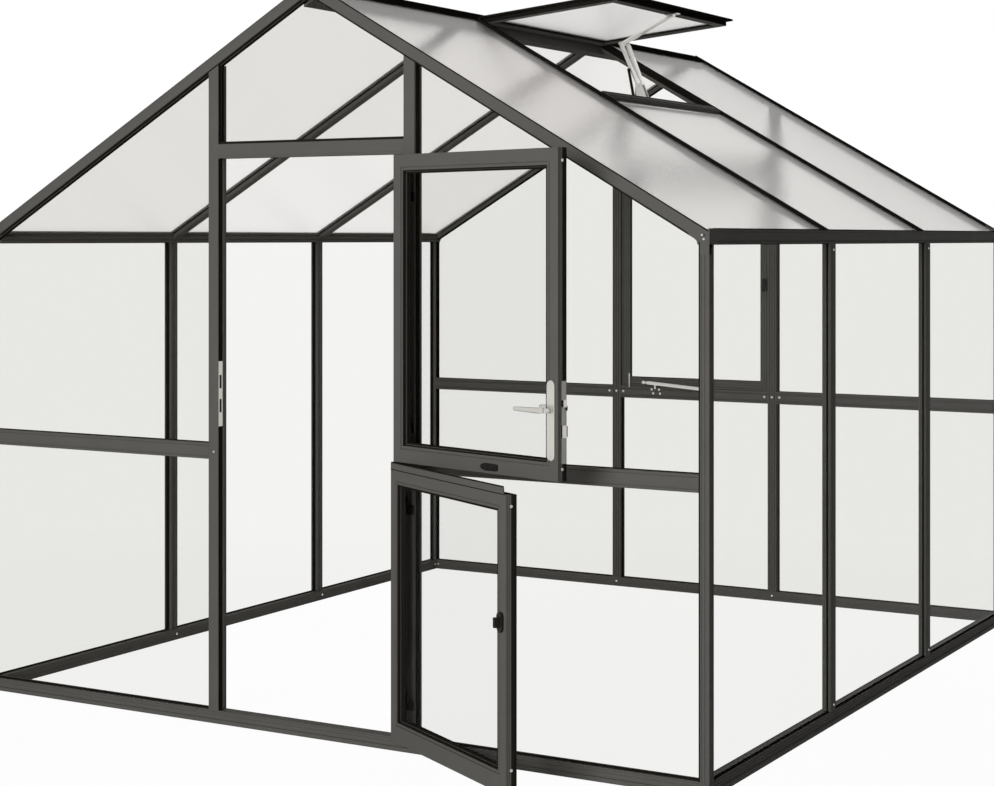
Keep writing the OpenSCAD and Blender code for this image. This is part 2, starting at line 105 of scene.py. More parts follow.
def powder_coat(name, colour, deep_colour, roughness, specular):
    """Polyester powder coat on aluminium: a faint drift of tone, and the orange peel of the cured powder."""
    material = new_material(name)
    place = add_node(material, "ShaderNodeTexCoord").outputs["Object"]
    drift = add_node(material, "ShaderNodeTexNoise", {"Vector": place}, Scale=9.0, Detail=3.0).outputs["Fac"]
    tone = add_node(material, "ShaderNodeMix", {"Factor": drift}, data_type="RGBA", A=linear(colour),
                    B=linear(deep_colour))
    peel = add_node(material, "ShaderNodeTexNoise", {"Vector": place}, Scale=1 / (1.6 * mm), Detail=2.0)
    bump = add_node(material, "ShaderNodeBump", {"Height": peel.outputs["Fac"]}, Strength=0.12,
                    Distance=0.05 * mm)
    sheen = add_node(material, "ShaderNodeMapRange", {"Value": drift}, To_Min=roughness - 0.05,
                     To_Max=roughness + 0.05)
    return surfaced(material, add_node(material, "ShaderNodeBsdfPrincipled", {
        "Base Color": tone.outputs["Result"], "Normal": bump.outputs["Normal"],
        "Roughness": sheen.outputs["Result"]}, Specular_IOR_Level=specular))


# Dark bronze grey polyester coat: satin, with a soft highlight and no visible grain.
coat = powder_coat("powder_coated_aluminium", "#4D4B48", "#474643", 0.5, 0.015)


def satin_metal(name, colour, roughness):
    """Stainless steel or zinc with a fine brushed finish: streaks of roughness along the piece."""
    material = new_material(name)
    place = add_node(material, "ShaderNodeTexCoord").outputs["Object"]
    streaks = add_node(material, "ShaderNodeTexNoise", {"Vector": place}, Scale=1 / (0.8 * mm),
                       Detail=3.0).outputs["Fac"]
    spread = add_node(material, "ShaderNodeMapRange", {"Value": streaks}, To_Min=roughness - 0.08,
                      To_Max=roughness + 0.08)
    bump = add_node(material, "ShaderNodeBump", {"Height": streaks}, Strength=0.08, Distance=0.03 * mm)
    return surfaced(material, add_node(material, "ShaderNodeBsdfPrincipled", {
        "Roughness": spread.outputs["Result"], "Normal": bump.outputs["Normal"]}, Metallic=1.0,
        Base_Color=linear(colour)))


# Zinc-plated steel: a bright, slightly blurred grey on every bolt and screw head.
zinc = satin_metal("zinc_plated_steel", "#DFDEDA", 0.32)


def skin(rings, closed=False):
    """Vertices and faces of one closed surface. rings is an array (ring, point, xyz): each ring joins the next
    by quads, closed joins the last ring to the first, and otherwise one face caps each end. The faces are
    reversed if the volume that they enclose comes out negative."""
    count, points = rings.shape[:2]
    index = np.arange(count * points).reshape(count, points)
    near, far = (index, np.roll(index, -1, axis=0)) if closed else (index[:-1], index[1:])
    quads = np.stack([near, np.roll(near, -1, axis=1), np.roll(far, -1, axis=1), far], axis=-1)
    faces = quads.reshape(-1, 4).tolist()
    verts = rings.reshape(-1, 3)
    corner = verts[quads.reshape(-1, 4)]
    volume = sum(np.einsum("ij,ij->i", corner[:, 0], np.cross(corner[:, k], corner[:, k + 1])).sum()
                 for k in (1, 2))
    if not closed:
        caps = [index[0][::-1], index[-1]]
        faces += [cap.tolist() for cap in caps]
        volume += sum(np.einsum("j,ij->i", verts[cap[0]], np.cross(verts[cap[1:-1]], verts[cap[2:]])).sum()
                      for cap in caps)
    if volume < 0:
        faces = [face[::-1] for face in faces]
    return verts, faces


def rounded(outline, radius=0.6 * mm, steps=2):
    """An outline whose corners are eased: each corner P becomes a quadratic curve from a point radius before it
    to a point radius after it, with P as its middle control point."""
    outline = np.asarray(outline, float)
    before, after = np.roll(outline, 1, axis=0) - outline, np.roll(outline, -1, axis=0) - outline
    reach = [np.minimum(radius / np.linalg.norm(side, axis=1), 0.4)[:, None] for side in (before, after)]
    start, end = outline + before * reach[0], outline + after * reach[1]
    t = np.linspace(0, 1, steps + 1)[None, :, None]
    curve = (1 - t) ** 2 * start[:, None] + 2 * t * (1 - t) * outline[:, None] + t ** 2 * end[:, None]
    return curve.reshape(-1, 2)


def die_shape(points, ease=0.5, steps=2):
    """An outline given in millimetres as metres, its corners eased by ease millimetres."""
    return rounded(np.array(points) * mm, ease * mm, steps)


def oblong(left, low, right, high, ease=0.5, steps=2):
    """A rectangle given in millimetres as metres, its corners eased by ease millimetres, or sharp with 0."""
    corners = [[left, low], [right, low], [right, high], [left, high]]
    return die_shape(corners, ease, steps) if ease else np.array(corners) * mm


def bar(outline, start, end, across, up, slant_start=(0, 0), slant_end=(0, 0)):
    """An extrusion from start to end: a point (u, v) of the outline lies at u along across and v along up. Each
    end is cut on a plane, where a point lies slant times (u, v) further along the bar."""
    outline = np.asarray(outline, float)
    start, end, across, up = (np.asarray(p, float) for p in (start, end, across, up))
    along = (end - start) / np.linalg.norm(end - start)
    section = outline[:, :1] * across + outline[:, 1:] * up
    ends = [start + section + (outline @ np.asarray(slant_start, float))[:, None] * along,
            end + section + (outline @ np.asarray(slant_end, float))[:, None] * along]
    return skin(np.stack(ends))


def bars(outlines, *placing):
    """Bars between the same two ends: the first outline in the piece's first material, the others in its second."""
    return [(bar(outline, *placing), min(number, 1)) for number, outline in enumerate(outlines)]


def turned(profile, centre, axis, segments=20):
    """A turned part: profile holds (radius, distance) pairs, and each is swept into a circle about the axis at
    that distance from the centre."""
    profile = np.asarray(profile, float)
    axis = np.asarray(axis, float) / np.linalg.norm(axis)
    side = np.cross(axis, (0, 0, 1) if abs(axis[2]) < 0.9 else (1, 0, 0))
    side /= np.linalg.norm(side)
    angle = np.linspace(0, 2 * math.pi, segments, endpoint=False)
    circle = np.cos(angle)[:, None] * side + np.sin(angle)[:, None] * np.cross(axis, side)
    rings = np.asarray(centre) + profile[:, :1, None] * circle + profile[:, 1:, None] * axis
    return skin(rings)


def piece(name, shells, materials, replaced=(), body="house", place=None):
    """One object from closed shells. Each shell is (verts, faces) in the first material, or (shell, number) in
    another of the materials. place moves an array of points from the leaf's own coordinates into the house's."""
    points, faces, numbers, first = [], [], [], 0
    for shell in shells:
        (verts, shell_faces), number = shell if isinstance(shell[1], int) else (shell, 0)
        points.append(verts)
        faces += [[first + corner for corner in face] for face in shell_faces]
        numbers += [number] * len(shell_faces)
        first += len(verts)
    points = np.concatenate(points)
    if place is not None:
        points = place(points)
    mesh = bpy.data.meshes.new(name)
    mesh.from_pydata(points.tolist(), [], faces)
    for material in materials:
        mesh.materials.append(material)
    mesh.polygons.foreach_set("material_index", numbers)
    mesh.shade_smooth()
    mesh.set_sharp_from_angle(angle=math.radians(32))
    mesh.update()
    made = bpy.data.objects.new(name, mesh)
    bpy.context.scene.collection.objects.link(made)
    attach(made, body)
    if replaced:
        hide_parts(*replaced)
    return made


bolt_head = np.array([[0.6, 0], [4.6, 0], [4.6, 1.6], [3.6, 2.8], [1.7, 3.1], [1.5, 2.2], [0.2, 2.2]]) * mm


def bolt(centre, axis, size=1.0):
    """A button-head bolt seated at centre, its head standing out along axis, with a socket in the head."""
    return turned(bolt_head * size, centre, axis, 14)


sill_outline = die_shape([
    [0, 0], [54, 0], [54, 12], [52.8, 13], [52.8, 15], [54, 16], [54, 43], [50, 43], [50, 41.5], [16, 41.5],
    [16, 43], [9, 43], [8, 42], [8, 38.8], [9.4, 38.4], [9.4, 37.2], [8, 36.8], [8, 29.6], [9.6, 29],
    [9.6, 27.6], [8, 27], [8, 14], [1.2, 14], [0, 12.8]])
corner_x, corner_y0, corner_y1 = half_width + sill_lip, front_face - sill_lip, back_face + sill_lip
sill_corners = np.array([[-corner_x, corner_y0, 0], [corner_x, corner_y0, 0], [corner_x, corner_y1, 0],
                         [-corner_x, corner_y1, 0]])
# Where the anchor bolts stand along the gables' sills and the side walls' sills, and their height.
gable_feet = [-half_width + 56 * mm, -399 * mm, 399 * mm, half_width - 56 * mm]
side_feet = [front_face + 60 * mm, *bars_y, back_face - 60 * mm]
anchor_z = 24 * mm
for side, (name, feet) in enumerate([("front", gable_feet), ("right", side_feet), ("back", gable_feet),
                                     ("left", side_feet)]):
    start, end = sill_corners[side], sill_corners[(side + 1) % 4]
    along = (end - start) / np.linalg.norm(end - start)
    inward = np.cross((0, 0, 1), along)
    inner_face = start + inward * sill_depth
    shells = [bar(sill_outline, start, end, inward, (0, 0, 1), (1, 0), (-1, 0))]
    for foot in feet:
        seat = abs(along) * foot + (1 - abs(along)) * inner_face + np.array([0, 0, anchor_z])
        shells.append((bolt(seat, inward), 1))
    piece(f"{name}_sill", shells, [coat, zinc], [f"sill_{name}"])

# ------------------------------------------------- rafters, ridge and eaves
# The rafters are extrusions with a proud middle face. A black rubber trim closes them over the roof sheets, a
# seal lies on the ledge that carries the sheets, and another along the lower edge meets the gable's glass.
slope = math.radians(30)
rafter_underside, rafter_width = -42 * mm, 34 * mm
ridge_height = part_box("rafter_front_right")[1].z
downhill = {side: np.array([side * math.cos(slope), 0, -math.sin(slope)]) for side in (-1, 1)}
uphill_normal = {side: np.array([side * math.sin(slope), 0, math.cos(slope)]) for side in (-1, 1)}


def roof_height(x, above=0.0):
    """Height of a plane parallel to the roof at x, lying above it square to the slope."""
    return ridge_height - abs(x) * math.tan(slope) + above / math.cos(slope)


# Black EPDM rubber: matt and very dark, with a dusty bloom that lightens it a little in places.
rubber = powder_coat("black_epdm_rubber", "#171513", "#1E1C19", 0.62, 0.0)

rafter_outline = die_shape([[0, -1.8], [9, -1.8], [9, -20.5], [34, -20.5], [34, -42], [0, -42]])
trim_outline = die_shape([
    [0.2, -2.2], [8.6, -2.2], [9.4, -10.2], [15, -10.2], [14, -7], [10.5, 0.4], [0.2, 0.4]], 0.8)
ledge_seal = oblong(29, -26, 34.8, -20.2)
seal_outline = oblong(-0.8, -42.2, 8, -37)
plumb_cut = (0, -math.tan(slope))
seal_short = 68 * mm
for end_name, face, out in gables:
    for side_name, side in sides:
        crown = np.array([0, face, ridge_height])
        foot = crown + downhill[side] * half_width / math.cos(slope)
        seal_foot = crown + downhill[side] * (half_width - seal_short) / math.cos(slope)
        shells = [(bar(outline, crown, end, (0, out, 0), uphill_normal[side], plumb_cut, plumb_cut), number)
                  for outline, end, number in ((rafter_outline, foot, 0), (trim_outline, foot, 1),
                                               (seal_outline, seal_foot, 1), (ledge_seal, seal_foot, 1))]
        piece(f"{side_name}_{end_name}_rafter", shells, [coat, rubber], [f"rafter_{end_name}_{side_name}"])

# ------------------------------------------------------- posts at the corners
# The corner posts are square extrusions with two fine grooves down each outer face. They stand on the sills
# and are cut to the slope under the rafters, where a rounded gusset and two bolts hold the corner.
corner_width = half_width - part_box("corner_post_front_right")[0].x
post_top = roof_height(half_width, rafter_underside)
groove = np.array([[0, -1.2], [2.2, -0.9], [2.2, 0.9], [0, 1.2]])


def grooved(places, way):
    """Points (depth, place) along one side of an outline, which steps in and out again at each place. way is 1
    where the outline runs up that side, and -1 where it runs down."""
    return np.concatenate([groove * [1, way] + [0, place] for place in places])


corner_outline = rounded(np.concatenate([
    [[0, 0]], grooved([14, 24], 1)[:, ::-1], [[34, 0], [34, 34], [0, 34]], grooved([24, 14], -1)]) * mm, 0.5 * mm)
corner_seal = die_shape([[30.2, -0.7], [34.8, -0.7], [35.4, 20], [33, 20], [33, 2], [30.2, 2]])
for end_name, face, out in gables:
    for side_name, side in sides:
        foot, head = [[side * half_width, face, z] for z in (sill_height, post_top)]
        shells = bars([corner_outline, corner_seal], foot, head, (-side, 0, 0), (0, out, 0), (0, 0),
                      (math.tan(slope), 0))
        piece(f"{end_name}_{side_name}_corner_post", shells, [coat, rubber],
              [f"corner_post_{end_name}_{side_name}"])

# Each eave corner is one casting over the post's head and the rafter's foot, with a rounded inner edge. Two
# bolts and a black plug show on its face.
inner_x, arc_radius = half_width - corner_width, 36 * mm
under_z = roof_height(inner_x, rafter_underside)
arc_reach = arc_radius * math.tan(math.pi / 4 - slope / 2)
arc_turn = np.linspace(0, math.pi / 2 - slope, 9)
arc_points = np.stack([inner_x - arc_radius + arc_radius * np.cos(arc_turn),
                       under_z - arc_reach + arc_radius * np.sin(arc_turn)], axis=1)
casting_far, casting_low = half_width - 74 * mm, under_z - 40 * mm
casting_proud, casting_deep = 0.7 * mm, 20 * mm
# Each bolt's place, and the plug's: distance inward from the house's side, and height.
casting_bolts = ((24 * mm, 1680 * mm), (18 * mm, 1668 * mm))
plug_inward, plug_z = 16 * mm, 1680 * mm
plug = np.array([[0.5, 0], [2.6, 0], [2.2, 0.5], [0.5, 0.5]]) * mm
casting = np.concatenate([
    [[half_width, casting_low], [half_width, roof_height(half_width, -2 * mm)],
     [casting_far, roof_height(casting_far, -2 * mm)], [casting_far, roof_height(casting_far, -42.4 * mm)]],
    arc_points[::-1], [[inner_x, casting_low]]])
shells = []
for _, face, out in gables:
    proud = face - out * casting_proud
    for _, side in sides:
        shells.append(bar(casting * [side, 1], [0, proud, 0], [0, face + out * casting_deep, 0], (1, 0, 0),
                          (0, 0, 1)))
        shells += [(bolt([side * (half_width - inward), proud, height], (0, -out, 0), 0.75), 1)
                   for inward, height in casting_bolts]
        shells.append((turned(plug, [side * (half_width - plug_inward), proud, plug_z], (0, -out, 0), 10), 2))
piece("eave_corner_castings", shells, [coat, zinc, rubber], ["eave_gussets"])

# ------------------------------------------------------ posts in the side walls
# Each post is a web inside the glass and a wider cap outside it, clipped together over the panes' edges
# with a black seal on each side of the glass. Small screws hold the cap at its head and foot.
eave_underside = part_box("side_posts_left")[1].z
screw_inset, web_half = 22 * mm, 16 * mm
cap_outline = die_shape([[-25, 2.5], [-22, 0], [22, 0], [25, 2.5], [25, 9.6], [22.5, 9.6], [22.5, 6],
                         [-22.5, 6], [-22.5, 9.6], [-25, 9.6]], 0.8)
web_outline = die_shape([[-16, 6], [16, 6], [16, 28], [20, 28], [20, 34], [3, 34], [3, 31], [-3, 31],
                         [-3, 34], [-20, 34], [-20, 28], [-16, 28]], 0.6)
for side_name, side in sides:
    shells = []
    for middle in bars_y:
        foot, head = [[side * half_width, middle, z] for z in (sill_height, eave_underside)]
        shells += [bar(outline, foot, head, (0, 1, 0), (-side, 0, 0)) for outline in (cap_outline, web_outline)]
        for low, high in ((16, 22.5), (-22.5, -16)):
            for near, far in ((6.2, 10.3), (14.3, 18)):
                seal = oblong(low, near, high, far, 0)
                shells.append((bar(seal, foot, head, (0, 1, 0), (-side, 0, 0)), 1))
        shells += [(bolt([side * half_width, middle, height], (side, 0, 0), 0.8), 2)
                   for height in (sill_height + screw_inset, eave_underside - screw_inset)]
    piece(f"{side_name}_wall_posts", shells, [coat, rubber, zinc], [f"side_posts_{side_name}"])

# -------------------------------------------------------------- eave beams
# The eave beam is a hollow extrusion with a sloping seat for the roof sheets and a thin outer lip. A rubber
# bead lies along the lip, a drip line runs under the face, and a moulded cap closes each end.
lip_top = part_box("eave_beam_left")[1].z - eave_underside
beam_ends = (front_face + rafter_width, back_face - rafter_width)


def seat_height(inward, above=-20.3 * mm):
    """Height of the sheets' seat over the beam's underside, at a distance inward from its outer face."""
    return roof_height(half_width - inward, above) - eave_underside


eave_outline = die_shape([
    [0, 0], [5, 0], [5, 1.6], [7, 1.6], [7, 0], [46, 0], [46, 8], [42, 8.6], [42, 12], [46, 12.6], [46, 26],
    [42, 26.6], [42, 30.4], [46, 31], [46, seat_height(46 * mm) / mm],
    [4, seat_height(4 * mm) / mm], [4, lip_top / mm - 3], [0, lip_top / mm - 3], [0, 38], [1.2, 37.4],
    [1.2, 36], [0, 35.4], [0, 10], [3, 9.4], [3, 6], [0, 5.4]])
bead_outline = die_shape([[-0.6, lip_top / mm - 3.4], [4.6, lip_top / mm - 3.4],
                          [4.6, lip_top / mm], [-0.6, lip_top / mm]], 0.8)
end_outline = die_shape([[-0.8, -0.5], [40, -0.5], [40, 30], [4, 16], [4, lip_top / mm - 1],
                         [-0.8, lip_top / mm - 1]], 0.8)
for side_name, side in sides:
    ends = [np.array([side * half_width, y, eave_underside]) for y in beam_ends]
    shells = bars([eave_outline, bead_outline], *ends, (-side, 0, 0), (0, 0, 1))
    for end, step in ((ends[0], rafter_width), (ends[1], -rafter_width)):
        shells.append(bar(end_outline, end - [0, step, 0], end + [0, step, 0], (-side, 0, 0), (0, 0, 1)))
    piece(f"{side_name}_eave_beam", shells, [coat, rubber], [f"eave_beam_{side_name}"])

# -------------------------------------------------------------- ridge beam
# The ridge is one extrusion under a black capping. Its two edges hold the tops of the sheets and the hinge
# channel of the vent.
ridge_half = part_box("ridge_beam")[1].x
ridge_bottom = ridge_height - 50 * mm / math.cos(slope)
ridge_outline = rounded(np.array([
    [-ridge_half, roof_height(ridge_half, -50 * mm)], [-ridge_half + 8 * mm, roof_height(34 * mm, -50 * mm)],
    [0, ridge_bottom], [ridge_half - 8 * mm, roof_height(34 * mm, -50 * mm)],
    [ridge_half, roof_height(ridge_half, -50 * mm)], [ridge_half, roof_height(ridge_half, -9.4 * mm)],
    [0, ridge_height - 10.8 * mm], [-ridge_half, roof_height(ridge_half, -9.4 * mm)]]), 0.8 * mm)
capping_outline = rounded(np.array([
    [-ridge_half - 2 * mm, roof_height(44 * mm, -19 * mm)], [-ridge_half, roof_height(42 * mm, -19 * mm)],
    [-ridge_half, roof_height(42 * mm, -9 * mm)], [0, ridge_height - 10 * mm],
    [ridge_half, roof_height(42 * mm, -9 * mm)], [ridge_half, roof_height(42 * mm, -19 * mm)],
    [ridge_half + 2 * mm, roof_height(44 * mm, -19 * mm)], [ridge_half + 2 * mm, roof_height(44 * mm, -2 * mm)],
    [0, ridge_height - 2 * mm], [-ridge_half - 2 * mm, roof_height(44 * mm, -2 * mm)]]), 1 * mm)
ridge_ends = [np.array([0, y, 0]) for y in beam_ends]
piece("ridge_extrusion_and_capping",
      bars([ridge_outline, capping_outline], *ridge_ends, (1, 0, 0), (0, 0, 1)),
      [coat, rubber], ["ridge_beam"])

# ---------------------------------------------------------------- roof bars
# Each roof bar is an extrusion under the sheets. A narrower cap with rubber wings is screwed down over the
# sheets' edges.
bar_outline = die_shape([[-21, -40], [21, -40], [21, -21.5], [14, -20.3], [-14, -20.3], [-21, -21.5]], 0.8)
bar_seal = oblong(-21.8, -26, 21.8, -20)
cap_wings = die_shape([[-12.5, -20.3], [12.5, -20.3], [12.5, -10], [17, -9.8], [12, -4], [-12, -4],
                       [-17, -9.8], [-12.5, -10]], 0.6)
bar_cap = die_shape([[-11, -5], [11, -5], [9, -0.2], [-9, -0.2]], 1.5)
sheet_foot = half_width - 4.5 * mm
for side_name, side in sides:
    shells = []
    for middle in bars_y:
        top, foot, inner_foot = [np.array([0, middle, ridge_height]) + downhill[side] * x / math.cos(slope)
                                 for x in (ridge_half + 0.5 * mm, sheet_foot, half_width - 47 * mm)]
        for outline, end, number in ((bar_outline, inner_foot, 0), (bar_seal, inner_foot, 1),
                                     (cap_wings, foot, 1), (bar_cap, foot, 1)):
            shells.append((bar(outline, top, end, (0, 1, 0), uphill_normal[side], plumb_cut, plumb_cut), number))
    piece(f"{side_name}_roof_bars", shells, [coat, rubber], [f"roof_bars_{side_name}"])

# ------------------------------------------------------- door posts and header
# The door posts run from the sill to the rafters. Their reveal is a black draught seal, and a fin behind it
# stops the leaves. The header is cut between them, with a black glazing strip on top.
frame_depth = 46 * mm
post_width = post_outer - door_half
door_post_top = roof_height(door_half, rafter_underside)
header_bottom, header_top = header_low.z, header_high.z
post_outline = die_shape([
    [0, 0], [42, 0], [42, 46], [0, 46], [0, 27], [3.5, 26], [3.5, 3], [0, 2.4]], 0.7)
reveal_seal = die_shape([[0.8, 3.2], [4, 3.2], [4, 25.5], [0.8, 25.5], [0.8, 16], [2.4, 15],
                         [2.4, 13], [0.8, 12]])
edge_seal = oblong(41.4, 8, 43.4, 20, 0)
for side_name, side in sides:
    foot, head = [[side * door_half, front_face, z] for z in (sill_height, door_post_top)]
    shells = bars([post_outline, reveal_seal, edge_seal], foot, head, (side, 0, 0), (0, 1, 0), (0, 0),
                  (-math.tan(slope), 0))
    piece(f"{side_name}_door_post", shells, [coat, rubber], [f"door_post_{side_name}"])

header_outline = die_shape([[0, 0], [2.4, 0], [3, 3.5], [26, 3.5], [27, 0], [46, 0], [46, 56], [2, 56],
                            [2, 49], [0, 49], [0, 8], [0.9, 7.6], [0.9, 6.6], [0, 6.2]])
header_strip = oblong(0.4, 48.8, 6, 56.4)
header_seal = oblong(3.4, 0.8, 25.5, 4, 0)
ends = [[x, front_face, header_bottom] for x in (-door_half, door_half)]
piece("header_over_door", bars([header_outline, header_strip, header_seal], *ends, (0, 1, 0), (0, 0, 1)),
      [coat, rubber], ["door_header"])

# ------------------------------------------------------------------ mid rails
# The mid rails carry the joint of the lower and upper panes. A glazing bead is clipped in along the top and
# the bottom of each, and shows as two fine lines.
rail_bottom, rail_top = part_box("front_mid_rails")[0].z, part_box("front_mid_rails")[1].z
rail_outline = die_shape([
    [0, 0], [20, 0], [20, 3], [26, 3], [26, 0], [46, 0], [46, 8], [40, 8.6], [40, 13], [46, 13.6], [46, 40.4],
    [40, 41], [40, 45.4], [46, 46], [46, 55], [26, 55], [26, 52], [20, 52], [20, 55],
    [0, 55], [0, 48], [2.6, 47.6], [2.6, 45.4], [0, 45], [0, 11], [2.6, 10.6], [2.6, 8.4], [0, 8]])
corner_inner = half_width - corner_width
for end_name, face, out, spans in (
        ("front", front_face, 1, [(-corner_inner, -post_outer), (post_outer, corner_inner)]),
        ("back", back_face, -1, [(-corner_inner, -post_outer), (-door_half, door_half),
                                 (post_outer, corner_inner)])):
    shells = [bar(rail_outline, [x1, face, rail_bottom], [x2, face, rail_bottom], (0, out, 0), (0, 0, 1))
              for x1, x2 in spans]
    piece(f"{end_name}_wall_mid_rails", shells, [coat], [f"{end_name}_mid_rails"])

# -------------------------------------------------------------- back wall posts
# The back wall repeats the front's two posts, with a window over a pane instead of a door. Bolts through the
# posts and the mid rails show on the inner face.
back_inner = back_face - frame_depth
back_post_outline = die_shape([
    [0, 0], [42, 0], [42, 20], [39, 20], [39, 26], [42, 26], [42, 46], [36, 46], [35.6, 41], [32.4, 41], [32, 46],
    [24, 46], [23.6, 41], [20.4, 41], [20, 46], [12, 46], [11.6, 41], [8.4, 41], [8, 46], [0, 46], [0, 26],
    [3, 26], [3, 20], [0, 20]], 0.6)
rail_bolts = [(step, 938 * mm) for step in (-37 * mm, 0, 37 * mm)]
shells = []
for side in (-1, 1):
    foot, head = [[side * door_half, back_face, z] for z in (sill_height, door_post_top)]
    shells.append(bar(back_post_outline, foot, head, (side, 0, 0), (0, -1, 0), (0, 0), (-math.tan(slope), 0)))
    middle = side * (door_half + post_width / 2)
    shells += [(bolt([middle + step, back_inner, height], (0, -1, 0), 1.15), 1) for step, height in rail_bolts]
piece("back_wall_posts", shells, [coat, zinc], ["back_posts"])
back_header_outline = die_shape([
    [0, 0], [46, 0], [46, 56], [0, 56], [0, 49], [1.4, 48.6], [1.4, 47.4], [0, 47]])
piece("header_over_window",
      [bar(back_header_outline, *[[x, back_face, header_bottom] for x in (-door_half, door_half)], (0, -1, 0),
           (0, 0, 1))],
      [coat], ["back_header"])

# ------------------------------------------------------------- glass and seals
# The panes are 4 mm toughened float glass. Each lies between two black rubber seals, which run round it on
# both faces and are mitred at its corners.


def ring(section, corners, axes, widths=None, origin=(0, 0, 0)):
    """A closed frame round a convex outline, mitred at the corners. corners are (a, b) in the plane of the first
    two axes. A section point (u, v, k) lies u plus k times the side's own width inside the outline, and v along
    the third axis: at each corner that is where the two sides, moved in by their depths, meet."""
    corners, section = np.asarray(corners, float), np.asarray(section, float)
    following = np.roll(corners, -1, axis=0)
    if (corners[:, 0] * following[:, 1] - corners[:, 1] * following[:, 0]).sum() < 0:
        corners = corners[::-1]
    edge = np.roll(corners, -1, axis=0) - corners
    normal = np.stack([-edge[:, 1], edge[:, 0]], axis=1) / np.linalg.norm(edge, axis=1)[:, None]
    if section.shape[1] == 2:
        section = np.column_stack([section, np.zeros(len(section))])
    widths = np.zeros(len(corners)) if widths is None else np.asarray(widths, float)
    depth = section[:, 0] + section[:, 2] * widths[:, None]
    moved = np.stack([np.roll(depth, 1, axis=0), depth], axis=1)
    meeting = np.linalg.inv(np.stack([np.roll(normal, 1, axis=0), normal], axis=1))
    flat = corners[:, None] + np.einsum("cij,cjp->cpi", meeting, moved)
    axes = np.asarray(axes, float)
    return skin(np.asarray(origin) + flat[..., :1] * axes[0] + flat[..., 1:] * axes[1]
                + section[:, 1][None, :, None] * axes[2], closed=True)


def outer_shine(material, start, full):
    """Share of light that a sheet mirrors: Fresnel at plastic's and glass's index, stretched from none at start to
    all at full, and only on the side of a face that looks outwards."""
    slant = add_node(material, "ShaderNodeFresnel", IOR=1.5).outputs["Fac"]
    steep = add_node(material, "ShaderNodeMapRange", {"Value": slant}, From_Min=start, From_Max=full)
    inside = add_node(material, "ShaderNodeNewGeometry").outputs["Backfacing"]
    outside = add_node(material, "ShaderNodeMath", {0: inside}, operation="LESS_THAN")
    return add_node(material, "ShaderNodeMath", {0: steep.outputs["Result"], 1: outside.outputs["Value"]},
                    operation="MULTIPLY").outputs["Value"]


def clear_glass(name, tint):
    """Float glass as a thin pane: light goes straight through with a faint tint at each face, and the outer side
    of each face reflects more as it is seen at a slant, by Fresnel at glass's index."""
    material = new_material(name)
    through = add_node(material, "ShaderNodeBsdfTransparent", Color=linear(tint))
    mirror = add_node(material, "ShaderNodeBsdfGlossy", Roughness=0.02)
    return surfaced(material, add_node(material, "ShaderNodeMixShader", {
        "Fac": outer_shine(material, 0.08, 4.0), 1: through.outputs["BSDF"], 2: mirror.outputs["BSDF"]}))


def dress(material, *nodes):
    """Gives one material to CAD nodes that show as they are."""
    for node in nodes:
        frame["nodes"][node].data.materials.clear()
        frame["nodes"][node].data.materials.append(material)


# Toughened float glass: clear, with a very faint green grey in its depth.
glass = clear_glass("toughened_float_glass", "#F9F9F8")
dress(glass, "front_glass", "back_glass", "left_glass", "right_glass", "window_glass")

seal_outer = die_shape([[-0.6, 16], [1.6, 16], [2.4, 18], [2.4, 21], [-0.6, 21]])
seal_inner = die_shape([[-0.6, 25], [2.4, 25], [2.4, 28], [1.6, 30], [-0.6, 30]])
low_pane = [(corner_inner, sill_height), (post_outer, sill_height), (post_outer, rail_bottom),
            (corner_inner, rail_bottom)]
high_pane = [(corner_inner, rail_top), (post_outer, rail_top),
             (post_outer, roof_height(post_outer, rafter_underside)),
             (corner_inner, roof_height(corner_inner, rafter_underside))]
top_pane = [(-door_half, header_top), (door_half, header_top), (door_half, door_post_top),
            (0, roof_height(0, rafter_underside)), (-door_half, door_post_top)]
centre_pane = [(-door_half, sill_height), (door_half, sill_height), (door_half, rail_bottom),
               (-door_half, rail_bottom)]
for end_name, face, out, middle_panes in (("front", front_face, 1, [top_pane]),
                                          ("back", back_face, -1, [top_pane, centre_pane])):
    panes = [[(side * x, z) for x, z in pane] for pane in (low_pane, high_pane) for side in (-1, 1)]
    piece(f"{end_name}_wall_seals",
          [ring(section, pane, ((1, 0, 0), (0, 0, 1), (0, out, 0)), origin=(0, face, 0))
           for pane in panes + middle_panes for section in (seal_outer, seal_inner)],
          [rubber])
# The side walls' panes lie this much nearer the outer face than the gables' panes.
side_pane_out = 10.7 * mm
bay_edges = [front_face + corner_width, bars_y[0] - web_half, bars_y[0] + web_half, bars_y[1] - web_half,
             bars_y[1] + web_half, back_face - corner_width]
for side_name, side in sides:
    panes = [[(y1, sill_height), (y2, sill_height), (y2, eave_underside), (y1, eave_underside)]
             for y1, y2 in zip(bay_edges[::2], bay_edges[1::2])]
    piece(f"{side_name}_wall_seals",
          [ring(section - [0, side_pane_out], pane, ((0, 1, 0), (0, 0, 1), (-side, 0, 0)),
                origin=(side * half_width, 0, 0)) for pane in panes for section in (seal_outer, seal_inner)],
          [rubber])

# ------------------------------------------------------------------ roof sheets
# The roof is 10 mm twin-wall polycarbonate, whose ribs run down the slope every 11 mm. It is milky: bars below
# it show as soft shadows.
rib_pitch = 11 * mm


